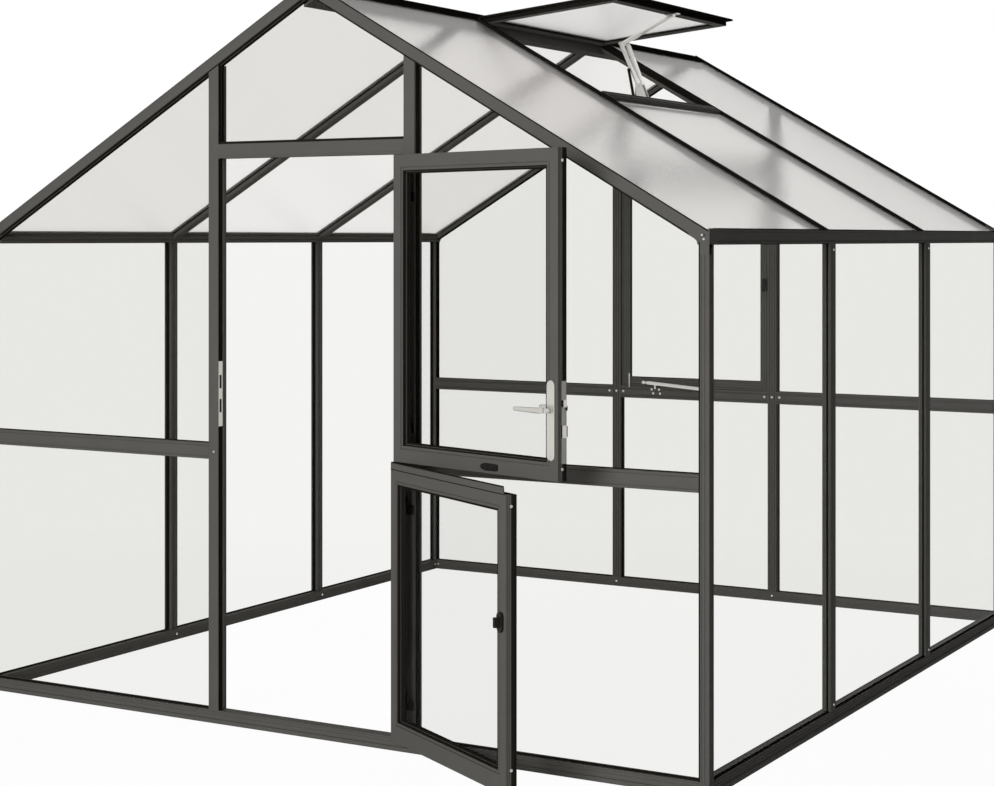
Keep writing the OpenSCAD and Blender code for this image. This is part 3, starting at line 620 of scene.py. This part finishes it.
def opal_sheet(name, ribs_along):
    """Twin-wall polycarbonate: rough refraction that blurs what lies behind, mixed with a milky part that
    scatters light through. Fine darker lines one rib pitch apart run across ribs_along."""
    material = new_material(name)
    place = add_node(material, "ShaderNodeTexCoord").outputs["Object"]
    stripes = add_node(material, "ShaderNodeTexWave", {"Vector": place}, wave_type="BANDS",
                       bands_direction=ribs_along, wave_profile="SIN", Scale=math.pi / (10 * rib_pitch))
    narrow = add_node(material, "ShaderNodeMapRange", {"Value": stripes.outputs["Fac"]}, From_Min=0.86)
    tone = add_node(material, "ShaderNodeMix", {"Factor": narrow.outputs["Result"]}, data_type="RGBA",
                    A=linear("#FCFBFA"), B=linear("#F2F0EF")).outputs["Result"]
    clear = add_node(material, "ShaderNodeBsdfRefraction", {"Color": tone}, Roughness=0.16, IOR=1.08)
    milky = add_node(material, "ShaderNodeBsdfTranslucent", {"Color": tone})
    white = add_node(material, "ShaderNodeBsdfDiffuse", {"Color": tone})
    gloss = add_node(material, "ShaderNodeBsdfGlossy", Roughness=0.25)
    scatter = add_node(material, "ShaderNodeMixShader", {1: milky.outputs[0], 2: white.outputs[0]}, Fac=0.5)
    body = add_node(material, "ShaderNodeMixShader", {1: clear.outputs[0], 2: scatter.outputs[0]}, Fac=0.12)
    return surfaced(material, add_node(material, "ShaderNodeMixShader", {
        "Fac": outer_shine(material, 0.04, 1.6), 1: body.outputs[0], 2: gloss.outputs[0]}))


# Twin-wall polycarbonate: milky white with faint ribs, and a soft shine at a slant.
opal = opal_sheet("twin_wall_polycarbonate", "Y")
dress(opal, "roof_sheets_left", "roof_sheets_right", "vent_sheet")

margin = oblong(9.6, -20, 34.2, -10, 0)
margin_ends = (ridge_half + 3 * mm, sheet_foot)
shells = []
for _, face, out in gables:
    for side in (-1, 1):
        top, foot = [np.array([0, face, ridge_height]) + downhill[side] * x / math.cos(slope) for x in margin_ends]
        shells.append(bar(margin, top, foot, (0, out, 0), uphill_normal[side], plumb_cut, plumb_cut))
piece("sheet_margins_in_rafters", shells, [opal])

# ------------------------------------------------------------------- roof vent
# The vent is a sheet in an aluminium frame that hangs in the ridge's channel. Its cover laps over the bars on
# both sides. A wax-cylinder opener of zinc-plated steel holds it up on two struts.
vent_slope = math.radians(35.5) - slope
vent_low, vent_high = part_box("vent_sheet")
vent_middle = (vent_low.y + vent_high.y) / 2
vent_hinge = np.array([ridge_half + 1 * mm, vent_middle, roof_height(ridge_half + 1 * mm)])
vent_across = np.array([math.cos(vent_slope), 0, math.sin(vent_slope)])
vent_out = np.array([-math.sin(vent_slope), 0, math.cos(vent_slope)])
vent_length, vent_depth, vent_half = 574 * mm, 22 * mm, bay / 2 - 24 * mm
cover_half, cover_overhang = bay / 2 - 2 * mm, 22 * mm
vent_section = die_shape([[0, 0], [0, 23], [32, 23], [32, 12], [29, 12], [29, 3], [32, 3], [32, 0],
                          [18, 0], [18, 1.4], [16, 1.4], [16, 0]], 0.6)
cover_section = die_shape([
    [0, 19], [2, 19], [2, 23], [32, 23], [32, 25.4], [30, 27], [1.5, 27], [0, 25.5]], 0.6)
skirt_section = oblong(-0.8, 2, 0.4, 23, 0)
vent_seal = die_shape([[28, 8], [36, 8], [35, 13], [31, 13]])
vent_axes = (vent_across, (0, 1, 0), vent_out)
vent_under = vent_hinge - vent_out * vent_depth
leaf_corners, cover_corners = [[(0, -half), (length, -half), (length, half), (0, half)] for length, half in (
    (vent_length, vent_half), (vent_length + cover_overhang, cover_half))]
piece("roof_vent_frame",
      [(ring(section, corners, vent_axes, origin=vent_under), number) for section, corners, number in (
          (vent_section, leaf_corners, 0), (cover_section, cover_corners, 1), (skirt_section, leaf_corners, 1),
          (vent_seal, leaf_corners, 1))],
      [coat, rubber], ["vent_frame"])
cross_low, cross_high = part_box("vent_crossbar")
crossbar_outline = die_shape([[0, -40], [40, -40], [40, 0], [30, 0], [30, 3], [27, 3], [27, 0], [4, 0],
                              [4, 2], [0, 2]], 0.6)
cross_start = np.array([cross_low.x, 0, roof_height(cross_low.x)])
piece("crossbar_below_vent",
      [bar(np.column_stack([crossbar_outline[:, 0] * math.cos(slope), crossbar_outline[:, 1]]),
           cross_start + [0, cross_low.y, 0], cross_start + [0, cross_high.y, 0], downhill[1] / math.cos(slope),
           uphill_normal[1])],
      [coat], ["vent_crossbar"])


def strut(start, end, across_y, profile):
    """A turned rod between two points (x, z) of the vent's middle plane, moved across_y along Y. Its profile is
    (radius, share of the length)."""
    ends = [np.array([x, vent_middle + across_y, z]) for x, z in (start, end)]
    length = np.linalg.norm(ends[1] - ends[0])
    return turned(np.asarray(profile) * [mm, length], ends[0], ends[1] - ends[0], 18)


elbow, knee = np.array([391, 2436]) * mm, np.array([466, 2269]) * mm
cylinder_top, cylinder_foot = np.array([412, 2428]) * mm, np.array([474, 2273]) * mm
arm_end = np.array([cross_low.x + 51 * mm, 2536 * mm])
plate_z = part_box("vent_opener")[0].z
foot_plate = die_shape([[-11, 10], [12, 10], [44, -74], [-16, -74]], 4)
shells = [strut(elbow, knee, -11 * mm, [(0.5, -0.03), (7, -0.03), (8.6, 0.05), (8.2, 0.9), (6, 1.03), (0.5, 1.03)]),
          strut(cylinder_top, cylinder_foot, 9 * mm,
                [(0.5, -0.04), (6, -0.04), (9.5, 0.02), (9.5, 0.3), (10.5, 0.31), (10.5, 0.35), (9.5, 0.36),
                 (9.5, 0.8), (6, 0.84), (5, 1.02), (0.5, 1.02)]),
          strut(elbow, arm_end, 0, [(0.5, -0.03), (8.6, -0.03), (9.4, 0.3), (8, 0.34), (6, 0.96), (0.5, 1)])]
for spot, half in ((elbow, 22 * mm), (knee, 20 * mm), (arm_end, 12 * mm)):
    shells.append(turned(oblong(0.5, -half / mm, 7, half / mm, 0), [spot[0], vent_middle, spot[1]], (0, 1, 0)))
for y in (-15 * mm, 13 * mm):
    shells.append(bar(foot_plate + knee, [0, vent_middle + y, 0], [0, vent_middle + y + 2.5 * mm, 0],
                      (1, 0, 0), (0, 0, 1)))
plate_ends = [[cross_low.x - 124 * mm, vent_middle + y * mm, plate_z] for y in (-20, 20)]
shells.append(bar(oblong(0, 0, 124, 4, 0), *plate_ends, (1, 0, 0), (0, 0, 1)))
end_plate = oblong(-26, -2.5, 26, 0.5, 0)
plate_at = vent_under + vent_across * (arm_end[0] - vent_under[0]) / vent_across[0]
shells.append(bar(end_plate, plate_at + [0, -16 * mm, 0], plate_at + [0, 16 * mm, 0], vent_across, vent_out))
shells.append((strut((428 * mm, 2336 * mm), (456 * mm, plate_z + 4 * mm), -22 * mm,
                     [(0.5, 0), (5.5, 0), (5.5, 1), (0.5, 1)]), 1))
piece("vent_opener_and_struts", shells, [zinc, rubber], ["vent_opener"])

# ---------------------------------------------------------------- back window
# The window is a coated frame with a black seal round its pane. It has a black catch on one stile, and hangs
# behind the back posts. A steel stay bar lies along its foot on two pins.
window_low, window_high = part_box("window_frame")
window_section = die_shape([
    [0, 0], [2, -1.2], [9, -1.2], [9.4, 3], [12, 3], [12.4, 0], [22, 0], [22.4, 2.4], [24, 2.4], [24.4, 0],
    [33, 0], [33.4, 3.4], [36, 3.4], [36.4, 1], [42, 4], [42, 26], [0, 26]], 0.7)
window_seal = die_shape([[41.4, 5], [45.5, 7], [45.5, 11], [41.4, 11]])
window_corners = [(window_low.x, window_low.z), (window_high.x, window_low.z),
                  (window_high.x, window_high.z), (window_low.x, window_high.z)]
piece("back_window_frame",
      [(ring(section, window_corners, ((1, 0, 0), (0, 0, 1), (0, 1, 0)), origin=(0, window_low.y, 0)), number)
       for section, number in ((window_section, 0), (window_seal, 1))],
      [coat, rubber], ["window_frame"])
# Glass-filled nylon, moulded: as black as the rubber, with a dull sheen on its rounded edges.
nylon = powder_coat("black_moulded_nylon", "#171513", "#1C1A18", 0.42, 0.06)
catch = np.array([window_high.x - 16 * mm, window_low.y, 1454 * mm])
piece("window_catch",
      [turned(np.array([[0.5, 0], [11, 0], [11, -5], [9, -7], [0.5, -7]]) * mm, catch, (0, 1, 0)),
       bar(oblong(-11, -29, 11, 29, 6, 4), catch - [0, 7 * mm, 0], catch - [0, 19 * mm, 0], (1, 0, 0), (0, 0, 1))],
      [nylon])
stay_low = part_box("window_stay")[0]
stay_y = (stay_low.y + 4.5 * mm) / mm
stay_left, stay_right = [np.array([x, stay_y, z]) * mm for x, z in ((-258, 984), (62, 961))]
stay_bar = np.array([[0.5, 0], [6, 1], [8, 4], [8.2, 8], [6.5, 12], [4.6, 14], [4.6, 20], [7.5, 24], [8.6, 32],
                     [8.4, 318], [7, 320], [0.5, 320]]) * mm
shells = [turned(stay_bar, stay_left, stay_right - stay_left),
          turned(np.array([[0.5, -27], [2.6, -27], [2.6, 36], [2, 38], [0.5, 38]]) * mm,
                 [-326 * mm, stay_y * mm, 987 * mm], (0, 0, 1))]
bracket = die_shape([[0, -36], [50, -36], [46, -6], [28, -6], [26, 0], [18, 0], [16, -6], [-4, -6]], 2)
bracket_face = back_inner - 4 * mm
for x in (-212 * mm, 54 * mm):
    shells.append((bar(bracket, [x, back_inner, rail_top], [x, bracket_face, rail_top], (1, 0, 0), (0, 0, 1)), 1))
    shells.append(turned(oblong(0.5, -14, 5, 8, 0), [x + 22 * mm, stay_y * mm, rail_top + 6 * mm], (0, 0, 1)))
    shells += [bolt([x + u * mm, bracket_face, rail_top - v * mm], (0, -1, 0), 1.25)
               for u, v in ((2, 11), (41, 11), (10, 30), (46, 30))]
piece("window_stay_bar_and_brackets", shells, [zinc, coat], ["window_stay"])

# ---------------------------------------------------------------- strike plate
# The strike is a stainless plate let into the left door post. It has one pocket for the latch, one for the bolt,
# both drawn as black slabs on its face that paint the shade inside the pockets, and a countersunk screw at each
# end.

# Stainless steel, satin ground: bright and a little yellow beside the zinc.
stainless = satin_metal("satin_stainless_steel", "#CFCDC6", 0.3)
dress(stainless, "strike_plate")
strike_low, strike_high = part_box("strike_plate")
strike_face, strike_middle = strike_high.x, (strike_low.y + strike_high.y) / 2
pocket_shade_outline = oblong(-5.5, -23, 5.5, 23, 2, 3)
latch_z, bolt_z = 1176 * mm, 1093 * mm
# Black slabs a little proud of the strike: painted shade where its pockets are.
piece("strike_pockets_painted_shade",
      [bar(pocket_shade_outline, [strike_face - 0.5 * mm, strike_middle, z], [strike_face + 0.3 * mm, strike_middle, z],
           (0, 1, 0), (0, 0, 1)) for z in (latch_z, bolt_z)],
      [nylon])
screw_head = np.array([[0.5, -0.6], [1.5, -0.6], [1.7, 0.5], [3.4, 0.5], [3.7, 0]]) * mm


def screw(centre, axis, size=1.0):
    """A countersunk screw head, flush at centre, with a hollow for the driver."""
    return turned(screw_head * size, centre, axis, 12)


post_screw = [-door_half - 20 * mm, front_face, 934 * mm]
piece("strike_and_post_screws",
      [screw([strike_face, strike_middle, z], (1, 0, 0)) for z in (strike_low.z + 9 * mm, strike_high.z - 9 * mm)]
      + [screw(post_screw, (0, -1, 0))],
      [zinc])

# -------------------------------------------------------------- stable door
# Each leaf is a mitred aluminium frame round one pane. It is hung on two lift-off hinges, and stands open
# against the front wall. The hinges are coated black, and their fixed halves are on the right door post.
dress(nylon, "door_hinges")
joints = {joint["name"]: joint for joint in frame["joints"]}
leaf_edge = -9 * mm
# Low-iron float glass in the leaves: nearly without colour.
leaf_glass = clear_glass("low_iron_float_glass", "#FCFCFC")


def hung(joint_name, way=1):
    """Moves points between a leaf's own coordinates, where it is shut with its hinge axis at the origin, and the
    house: a turn about the upright hinge axis by the angle at which the leaf stands open."""
    joint = joints[joint_name]
    angle = -way * math.radians(joint["range_deg"][0])
    pivot = np.array([joint["pos_m"][0], joint["pos_m"][1], 0])
    turn = np.array([[math.cos(angle), -math.sin(angle), 0], [math.sin(angle), math.cos(angle), 0], [0, 0, 1]])
    return lambda points: (points @ turn.T + pivot) if way > 0 else (points - pivot) @ turn.T


def leaf_box(node, joint_name):
    """Lowest and highest corner of a leaf's CAD node in the leaf's own coordinates."""
    mesh = frame["nodes"][node].data
    flat = np.empty(3 * len(mesh.vertices))
    mesh.vertices.foreach_get("co", flat)
    points = hung(joint_name, -1)(flat.reshape(-1, 3))
    return points.min(0), points.max(0)


leaf_section = np.array([
    [0, 11, 0], [0, 30, 0], [1.6, 31, 0], [1.6, 33, 0], [0, 34, 0], [0, 38, 0], [1.6, 38.6, 0], [1.6, 40.4, 0],
    [0, 41, 0], [0, 47.4, 0], [0.6, 48, 0], [-18, 48, 1], [-17.6, 44, 1], [-14.9, 44, 1],
    [-14.6, 47.2, 1], [-13, 47.6, 1], [-3.4, 46.4, 1], [-3.4, 38, 1], [0, 37, 1], [0, 26, 1], [-18, 22, 1],
    [-18, 11, 1], [-19, 10, 1], [1, 10, 0]]) * [mm, mm, 1]
lip_seal = np.array([[-7, 46, 1], [-7, 47.8, 1], [-2.9, 47.2, 1], [-2.9, 37.6, 1], [-4, 37.6, 1],
                     [-4, 45, 1]]) * [mm, mm, 1]
leaf_edge_seal = oblong(-0.5, 11.5, 0.8, 29.5)
leaf_seal_inner = die_shape([[-3.8, 37.5], [1, 37.5], [3, 34], [3, 31], [-3.8, 31]])
leaf_seal_outer = die_shape([[-18.4, 12], [-17, 12], [3.4, 22], [3.4, 27], [-18.4, 27]])
knuckle_outline = die_shape([[-53, 7], [0, 7], [0, 9.2], [-7, 9.2], [-9.5, 10.4], [-53, 10.4]], 0.6)
knuckle_foot, knuckle_head = 32.5 * mm, 64.5 * mm
barrel = np.array([[3.6, 0.6], [4, 0], [6.4, 0], [7, 0.6], [7, 31.4], [6.4, 32], [4, 32], [3.6, 31.4]]) * mm


def leaf_parts(name, joint_name, body, hinge_heights):
    """Makes one leaf's frame, seals and knuckles, and returns the frame's lowest and highest corner."""
    frame_low, frame_high = leaf_box(f"{name}_frame", joint_name)
    pane_low, pane_high = leaf_box(f"{name}_glass", joint_name)
    corners = [(frame_low[0], frame_low[2]), (leaf_edge, frame_low[2]), (leaf_edge, frame_high[2]),
               (frame_low[0], frame_high[2])]
    opening = [(pane_low[0], pane_low[2]), (pane_high[0], pane_low[2]), (pane_high[0], pane_high[2]),
               (pane_low[0], pane_high[2])]
    widths = [pane_low[2] - frame_low[2], leaf_edge - pane_high[0], frame_high[2] - pane_high[2],
              pane_low[0] - frame_low[0]]
    axes = ((1, 0, 0), (0, 0, 1), (0, 1, 0))
    shells = [ring(leaf_section, corners, axes, widths), (ring(lip_seal, corners, axes, widths), 1),
              (ring(leaf_edge_seal, corners, axes), 1)]
    shells += [(ring(seal, opening, axes), 1) for seal in (leaf_seal_inner, leaf_seal_outer)]
    for height in hinge_heights:
        low, high = height + knuckle_foot, height + knuckle_head
        shells.append((turned_tube(barrel, [0, 0, low]), 2))
        shells.append((bar(knuckle_outline, [0, 0, low], [0, 0, high], (1, 0, 0), (0, 1, 0)), 2))
    piece(f"{name}_frame_and_seals", shells, [coat, rubber, nylon], [f"{name}_frame"], body, place=hung(joint_name))
    dress(leaf_glass, f"{name}_glass")
    return frame_low, frame_high


def turned_tube(profile, centre, segments=24):
    """An upright tube: a closed (radius, height) profile swept into a full circle about the Z axis."""
    angle = np.linspace(0, 2 * math.pi, segments, endpoint=False)
    circle = np.stack([np.cos(angle), np.sin(angle), np.zeros(segments)], axis=1)
    rings = np.asarray(centre) + profile[None, :, :1] * circle[:, None] + profile[None, :, 1:] * np.array([0, 0, 1])
    return skin(rings, closed=True)


upper_hinges, lower_hinges = (1039 * mm, 1790 * mm), (138 * mm, 773 * mm)
upper_low, upper_high = leaf_parts("upper_leaf", "upper_leaf_hinge", "upper_leaf", upper_hinges)
lower_low = leaf_parts("lower_leaf", "lower_leaf_hinge", "lower_leaf", lower_hinges)[0]

# --------------------------------------------------------------- lock and lever
# The mortice lock has a stainless plate on each face of the stile and a forend down its edge, where the latch
# and the bolt stand out. One spindle joins the two lever handles.
lever_axis = joints["lever_turn"]["pos_m"]
lock_x = hung("upper_leaf_hinge", -1)(np.array([lever_axis]))[0, 0]
lever_z = lever_axis[2]
plate_low, plate_high = leaf_box("lock_plates", "upper_leaf_hinge")
leaf_front, leaf_back = upper_high[1] - 38 * mm, upper_high[1]


def capsule(half_width, half_height, steps=8):
    """An upright outline with straight sides and a half circle at each end."""
    turn = np.linspace(0, math.pi, steps + 1)
    top = np.stack([np.cos(turn), np.sin(turn)], axis=1) * half_width + [0, half_height - half_width]
    return np.concatenate([top, -top])


plate_middle = (plate_low[2] + plate_high[2]) / 2
plate_half = (plate_high[2] - plate_low[2]) / 2
plate_width = (plate_high[0] - plate_low[0]) / 2
plate = capsule(plate_width, plate_half)
plate_ease, plate_side, plate_out = 1.6 * mm, 3.6 * mm, 5 * mm
plate_crown = capsule(plate_width - plate_ease, plate_half - plate_ease)
shells = []
for face, way in ((leaf_back, 1), (leaf_front, -1)):
    at = [np.array([lock_x, face + way * y, plate_middle]) for y in (0, plate_side, plate_out)]
    shells.append(skin(np.stack([np.column_stack([outline[:, 0], np.zeros(len(outline)), outline[:, 1]]) + place
                                 for outline, place in zip((plate, plate, plate_crown), at)])))
    for height in (plate_low[2] + 14 * mm, plate_high[2] - 14 * mm):
        shells.append(screw([lock_x, face + way * plate_out, height], (0, way, 0)))
forend = die_shape([[-10, -123], [-3, -123], [-2.6, -122], [-2, -123], [10, -123], [10, 123], [-2, 123],
                    [-2.6, 122], [-3, 123], [-10, 123]], 1)
edge_x, edge_y, forend_y = upper_low[0], (leaf_front + leaf_back) / 2, leaf_front + 13 * mm
forend_z = 1124 * mm
shells.append((bar(forend, [edge_x + 1 * mm, forend_y, forend_z], [edge_x - 0.8 * mm, forend_y, forend_z],
                   (0, 1, 0), (0, 0, 1)), 2))
# The latch, the bolt, and black blocks beside them that paint the shade in the gaps round them: extent across the
# edge, extent in height, material.
for near, far, low, high, number in ((-9, 5, 1169, 1191, 0), (5.5, 10, 1170, 1190, 1), (-12, -9, 1159, 1173, 1),
                                     (-8, 10, 1078, 1115, 0), (-12, -8.6, 1080, 1113, 1)):
    block = oblong(near, low, far, high, 1)
    shells.append((bar(block, [edge_x + 1 * mm, forend_y, 0], [edge_x - 4.6 * mm, forend_y, 0],
                       (0, 1, 0), (0, 0, 1)), number))
# The forend is plain steel with a dull nickel plate, darker than the face plates.
nickel = satin_metal("dull_nickel_plate", "#8B8983", 0.4)
piece("lock_plates_and_forend", shells, [stainless, nylon, nickel], ["lock_plates"], "upper_leaf",
      hung("upper_leaf_hinge"))

lever_low, lever_high = leaf_box("lever_handle", "upper_leaf_hinge")
grip_section = oblong(-7, -8, 7, 8, 6.8, 5)


def lever(outer, base, way):
    """One lever handle: rings of its section follow a path that leaves the plate along the spindle, turns through
    a quarter circle into the grip, and then runs level to the end, where it closes in a little."""
    bend = 14 * mm
    turn = np.linspace(0, math.pi / 2, 7)
    spine_y = outer - way * 7 * mm
    curve = np.stack([bend * (1 - np.cos(turn)), -bend * (1 - np.sin(turn))], axis=1)
    run = np.array([[20, 0], [60, 0], [106, 0], [118, 0], [122, 0], [123, 0]]) * mm
    path = np.concatenate([[[0, (base - spine_y) * way]], curve, run])
    angle = np.concatenate([[0], turn, np.full(len(run), math.pi / 2)])
    size = np.concatenate([[0.9, 0.9], np.linspace(0.9, 1.12, 6), [1.12, 1, 0.84, 0.78, 0.6, 0.3]])
    side = np.stack([np.cos(angle), np.sin(angle) * way, np.zeros(len(angle))], axis=1)
    centre = np.column_stack([lock_x + path[:, 0], spine_y + way * path[:, 1], np.full(len(path), lever_z)])
    rings = (centre[:, None] + size[:, None, None] * (grip_section[None, :, :1] * side[:, None]
             + grip_section[None, :, 1:] * np.array([0, 0, 1])))
    return skin(rings)


shells = []
for outer, face, way in ((lever_low[1], leaf_front - plate_out, -1), (lever_high[1], leaf_back + plate_out, 1)):
    shells.append(lever(outer, face, way))
    shells.append(turned(np.array([[0.5, 0], [10, 0], [10, 2], [9, 3], [8.4, 9], [0.5, 9]]) * mm,
                         [lock_x, face + way * 0.2 * mm, lever_z], (0, way, 0), 28))
# Polished stainless steel: a clear mirror that shows the white room and the dark frame as lines.
polished = satin_metal("polished_stainless_steel", "#C8C6C0", 0.13)
piece("lever_handles", shells, [polished], ["lever_handle"], "lever", hung("upper_leaf_hinge"))

# ------------------------------------------------------ fittings on the leaves
# The upper leaf has an oval latch plate on its bottom rail. The lower leaf has the weather strip that the
# upper leaf closes against, a sweep along its foot, and a turn knob for its bolt.
latch = np.array([-461 * mm, upper_high[1], 969 * mm])
half_turn = np.linspace(-math.pi / 2, math.pi / 2, 12)
latch_outline = np.concatenate([[[-30, 11], [-38, 9], [-38, -9], [-30, -11]],
                                np.stack([10 + 32 * np.cos(half_turn), 12 * np.sin(half_turn)], axis=1)]) * mm


def level_rings(outline, steps, place):
    """Rings of one outline that stand out along +Y from a face: each step is (size, height)."""
    return skin(np.stack([np.column_stack([outline[:, 0] * size, np.full(len(outline), height * mm),
                                           outline[:, 1] * size]) + place for size, height in steps]))


shells = [level_rings(latch_outline, ((1, -0.5), (1, 1.2), (0.94, 1.8), (0.84, 1.8), (0.8, 0.4)), latch),
          level_rings(oblong(-12, -8, 12, 8, 2), ((1, 0), (1, 4.5), (0.9, 5.2)), latch + [-25 * mm, 0, 0])]
upper_screws, lower_screws = (1902 * mm, 985 * mm), (889 * mm, 120 * mm)
shells += [(screw([edge_x, edge_y, height], (-1, 0, 0), 1.2), 1) for height in upper_screws]
piece("upper_leaf_latch_plate_and_screws", shells, [nylon, zinc], (), "upper_leaf",
      hung("upper_leaf_hinge"))
dress(nylon, "turn_knob")
strip_low, strip_high = leaf_box("weather_strip", "lower_leaf_hinge")
strip_outline = die_shape([[0, 0], [4, 0], [4, 21], [1.5, 21], [0, 18]])
strip_seal = oblong(3.2, -0.5, 4.6, 2.2, 0)
# A black rubber piece on the strip's top edge: painted shade of the gap between the two leaves.
strip_top_painted_shade = np.array([[0.8, 19], [3.2, 19], [3, 25], [1, 25]]) * mm
shells = bars([strip_outline, strip_seal, strip_top_painted_shade], strip_low, [strip_high[0], strip_low[1], strip_low[2]],
              (0, 1, 0), (0, 0, 1))
# Black blocks at the strip's hinge end and along the first 150 mm of its outer edge: painted shade in the gap
# between the leaves.
hinge_end_painted_shade = oblong(11, -0.5, strip_low[1] / mm, 24.8, 0.6)
outer_edge_painted_shade = oblong(11.5, -0.3, 14.5, 24.6, 0)
shells += [(bar(line, [leaf_edge - reach, 0, strip_low[2]], [leaf_edge, 0, strip_low[2]], (0, 1, 0), (0, 0, 1)), 1)
           for line, reach in ((hinge_end_painted_shade, 7 * mm), (outer_edge_painted_shade, 150 * mm))]
piece("weather_strip_seal_and_painted_shade", shells, [coat, rubber], ["weather_strip"], "lower_leaf",
      place=hung("lower_leaf_hinge"))
sweep = oblong(36, 44.5, 39, 52)
shells = [bar(sweep, [lower_low[0] + 4 * mm, 0, 0], [leaf_edge - 4 * mm, 0, 0], (0, 1, 0), (0, 0, 1))]
shells += [(screw([lower_low[0], edge_y, height], (-1, 0, 0), 1.2), 1) for height in lower_screws]
piece("lower_leaf_sweep_and_screws", shells, [rubber, zinc], (), "lower_leaf",
      hung("lower_leaf_hinge"))

# ---------------------------------------------------------- floor, light, camera
# The house stands on a white studio floor, under a white sky that rays from the camera, a mirror or a pane see.
# A large soft lamp at the front left is the main light, and the dim sky fills the sides that it misses.
world = bpy.data.worlds.new("studio")
bpy.context.scene.world = world
world.use_nodes = True
world.node_tree.nodes.clear()


def white_for_seeing(owner):
    """Adds nodes that give 1 for rays of the camera, of a mirror and through glass, and 0 for the rest."""
    rays = add_node(owner, "ShaderNodeLightPath")
    seen = rays.outputs["Is Camera Ray"]
    for kind in ("Is Glossy Ray", "Is Transmission Ray"):
        seen = add_node(owner, "ShaderNodeMath", {0: seen, 1: rays.outputs[kind]},
                        operation="MAXIMUM").outputs["Value"]
    return seen


strength = add_node(world, "ShaderNodeMapRange", {"Value": white_for_seeing(world)}, To_Min=0.09)
sky = add_node(world, "ShaderNodeBackground", {"Strength": strength.outputs["Result"]}, Color=(1, 1, 1, 1))
add_node(world, "ShaderNodeOutputWorld", {"Surface": sky.outputs["Background"]})

# A matt white floor that takes the house's shadow. Within a few metres of the house it also looks a little
# greyer than the sky.
floor_white = new_material("white_studio_floor")
glow = add_node(floor_white, "ShaderNodeEmission", Color=(1, 1, 1, 1), Strength=1.0)
matt = add_node(floor_white, "ShaderNodeBsdfDiffuse", Color=linear("#DADAD8"))
spot = add_node(floor_white, "ShaderNodeTexCoord").outputs["Object"]
distance = add_node(floor_white, "ShaderNodeVectorMath", {"Vector": spot}, operation="LENGTH")
near_house = add_node(floor_white, "ShaderNodeMapRange", {"Value": distance.outputs["Value"]}, From_Min=2.2,
                      From_Max=5.0, To_Min=0.965, To_Max=1.0)
white_share = add_node(floor_white, "ShaderNodeMath", {
    0: white_for_seeing(floor_white), 1: near_house.outputs["Result"]}, operation="MULTIPLY")
surfaced(floor_white, add_node(floor_white, "ShaderNodeMixShader", {
    "Fac": white_share.outputs["Value"], 1: matt.outputs["BSDF"], 2: glow.outputs["Emission"]}))
floor_half, floor_z = 60, -0.5 * mm
floor_mesh = bpy.data.meshes.new("studio_floor")
floor_corners = [(x * floor_half, y * floor_half, floor_z) for x, y in ((-1, -1), (1, -1), (1, 1), (-1, 1))]
floor_mesh.from_pydata(floor_corners, [], [(0, 1, 2, 3)])
floor_mesh.materials.append(floor_white)
floor = bpy.data.objects.new("studio_floor", floor_mesh)
bpy.context.scene.collection.objects.link(floor)


def aim(thing, place, target):
    """Puts a lamp or the camera at place, with its -Z axis towards target and its X axis level."""
    back = np.subtract(place, target)
    thing.location = place
    thing.rotation_euler = (math.atan2(math.hypot(back[0], back[1]), back[2]), 0, math.atan2(back[0], -back[1]))


lamp_target = (0, 1.2, 1.2)
for name, place, size, power in (("key_lamp", (1.2, -8.0, 2.7), 4.0, 920), ("fill_lamp", (7.5, 1.5, 4.5), 5.0, 4),
                                 ("back_lamp", (-3.0, 9.0, 5.0), 5.0, 260)):
    data = bpy.data.lights.new(name, "AREA")
    data.shape, data.size, data.energy = "DISK", size, power
    lamp = bpy.data.objects.new(name, data)
    lamp.visible_camera = lamp.visible_glossy = lamp.visible_transmission = False
    bpy.context.scene.collection.objects.link(lamp)
    aim(lamp, place, lamp_target)

camera_data = bpy.data.cameras.new("camera")
camera_data.lens, camera_data.shift_y = 72.05, -0.1556
camera_data.clip_end = 200
camera = bpy.data.objects.new("camera", camera_data)
bpy.context.scene.collection.objects.link(camera)
bpy.context.scene.camera = camera
camera_place = np.array([3.86921, -5.47932, 1.67])
camera_azimuth = math.radians(29.9)
aim(camera, camera_place, camera_place + [-math.sin(camera_azimuth), math.cos(camera_azimuth), 0])
bpy.context.scene.view_settings.view_transform = "Standard"
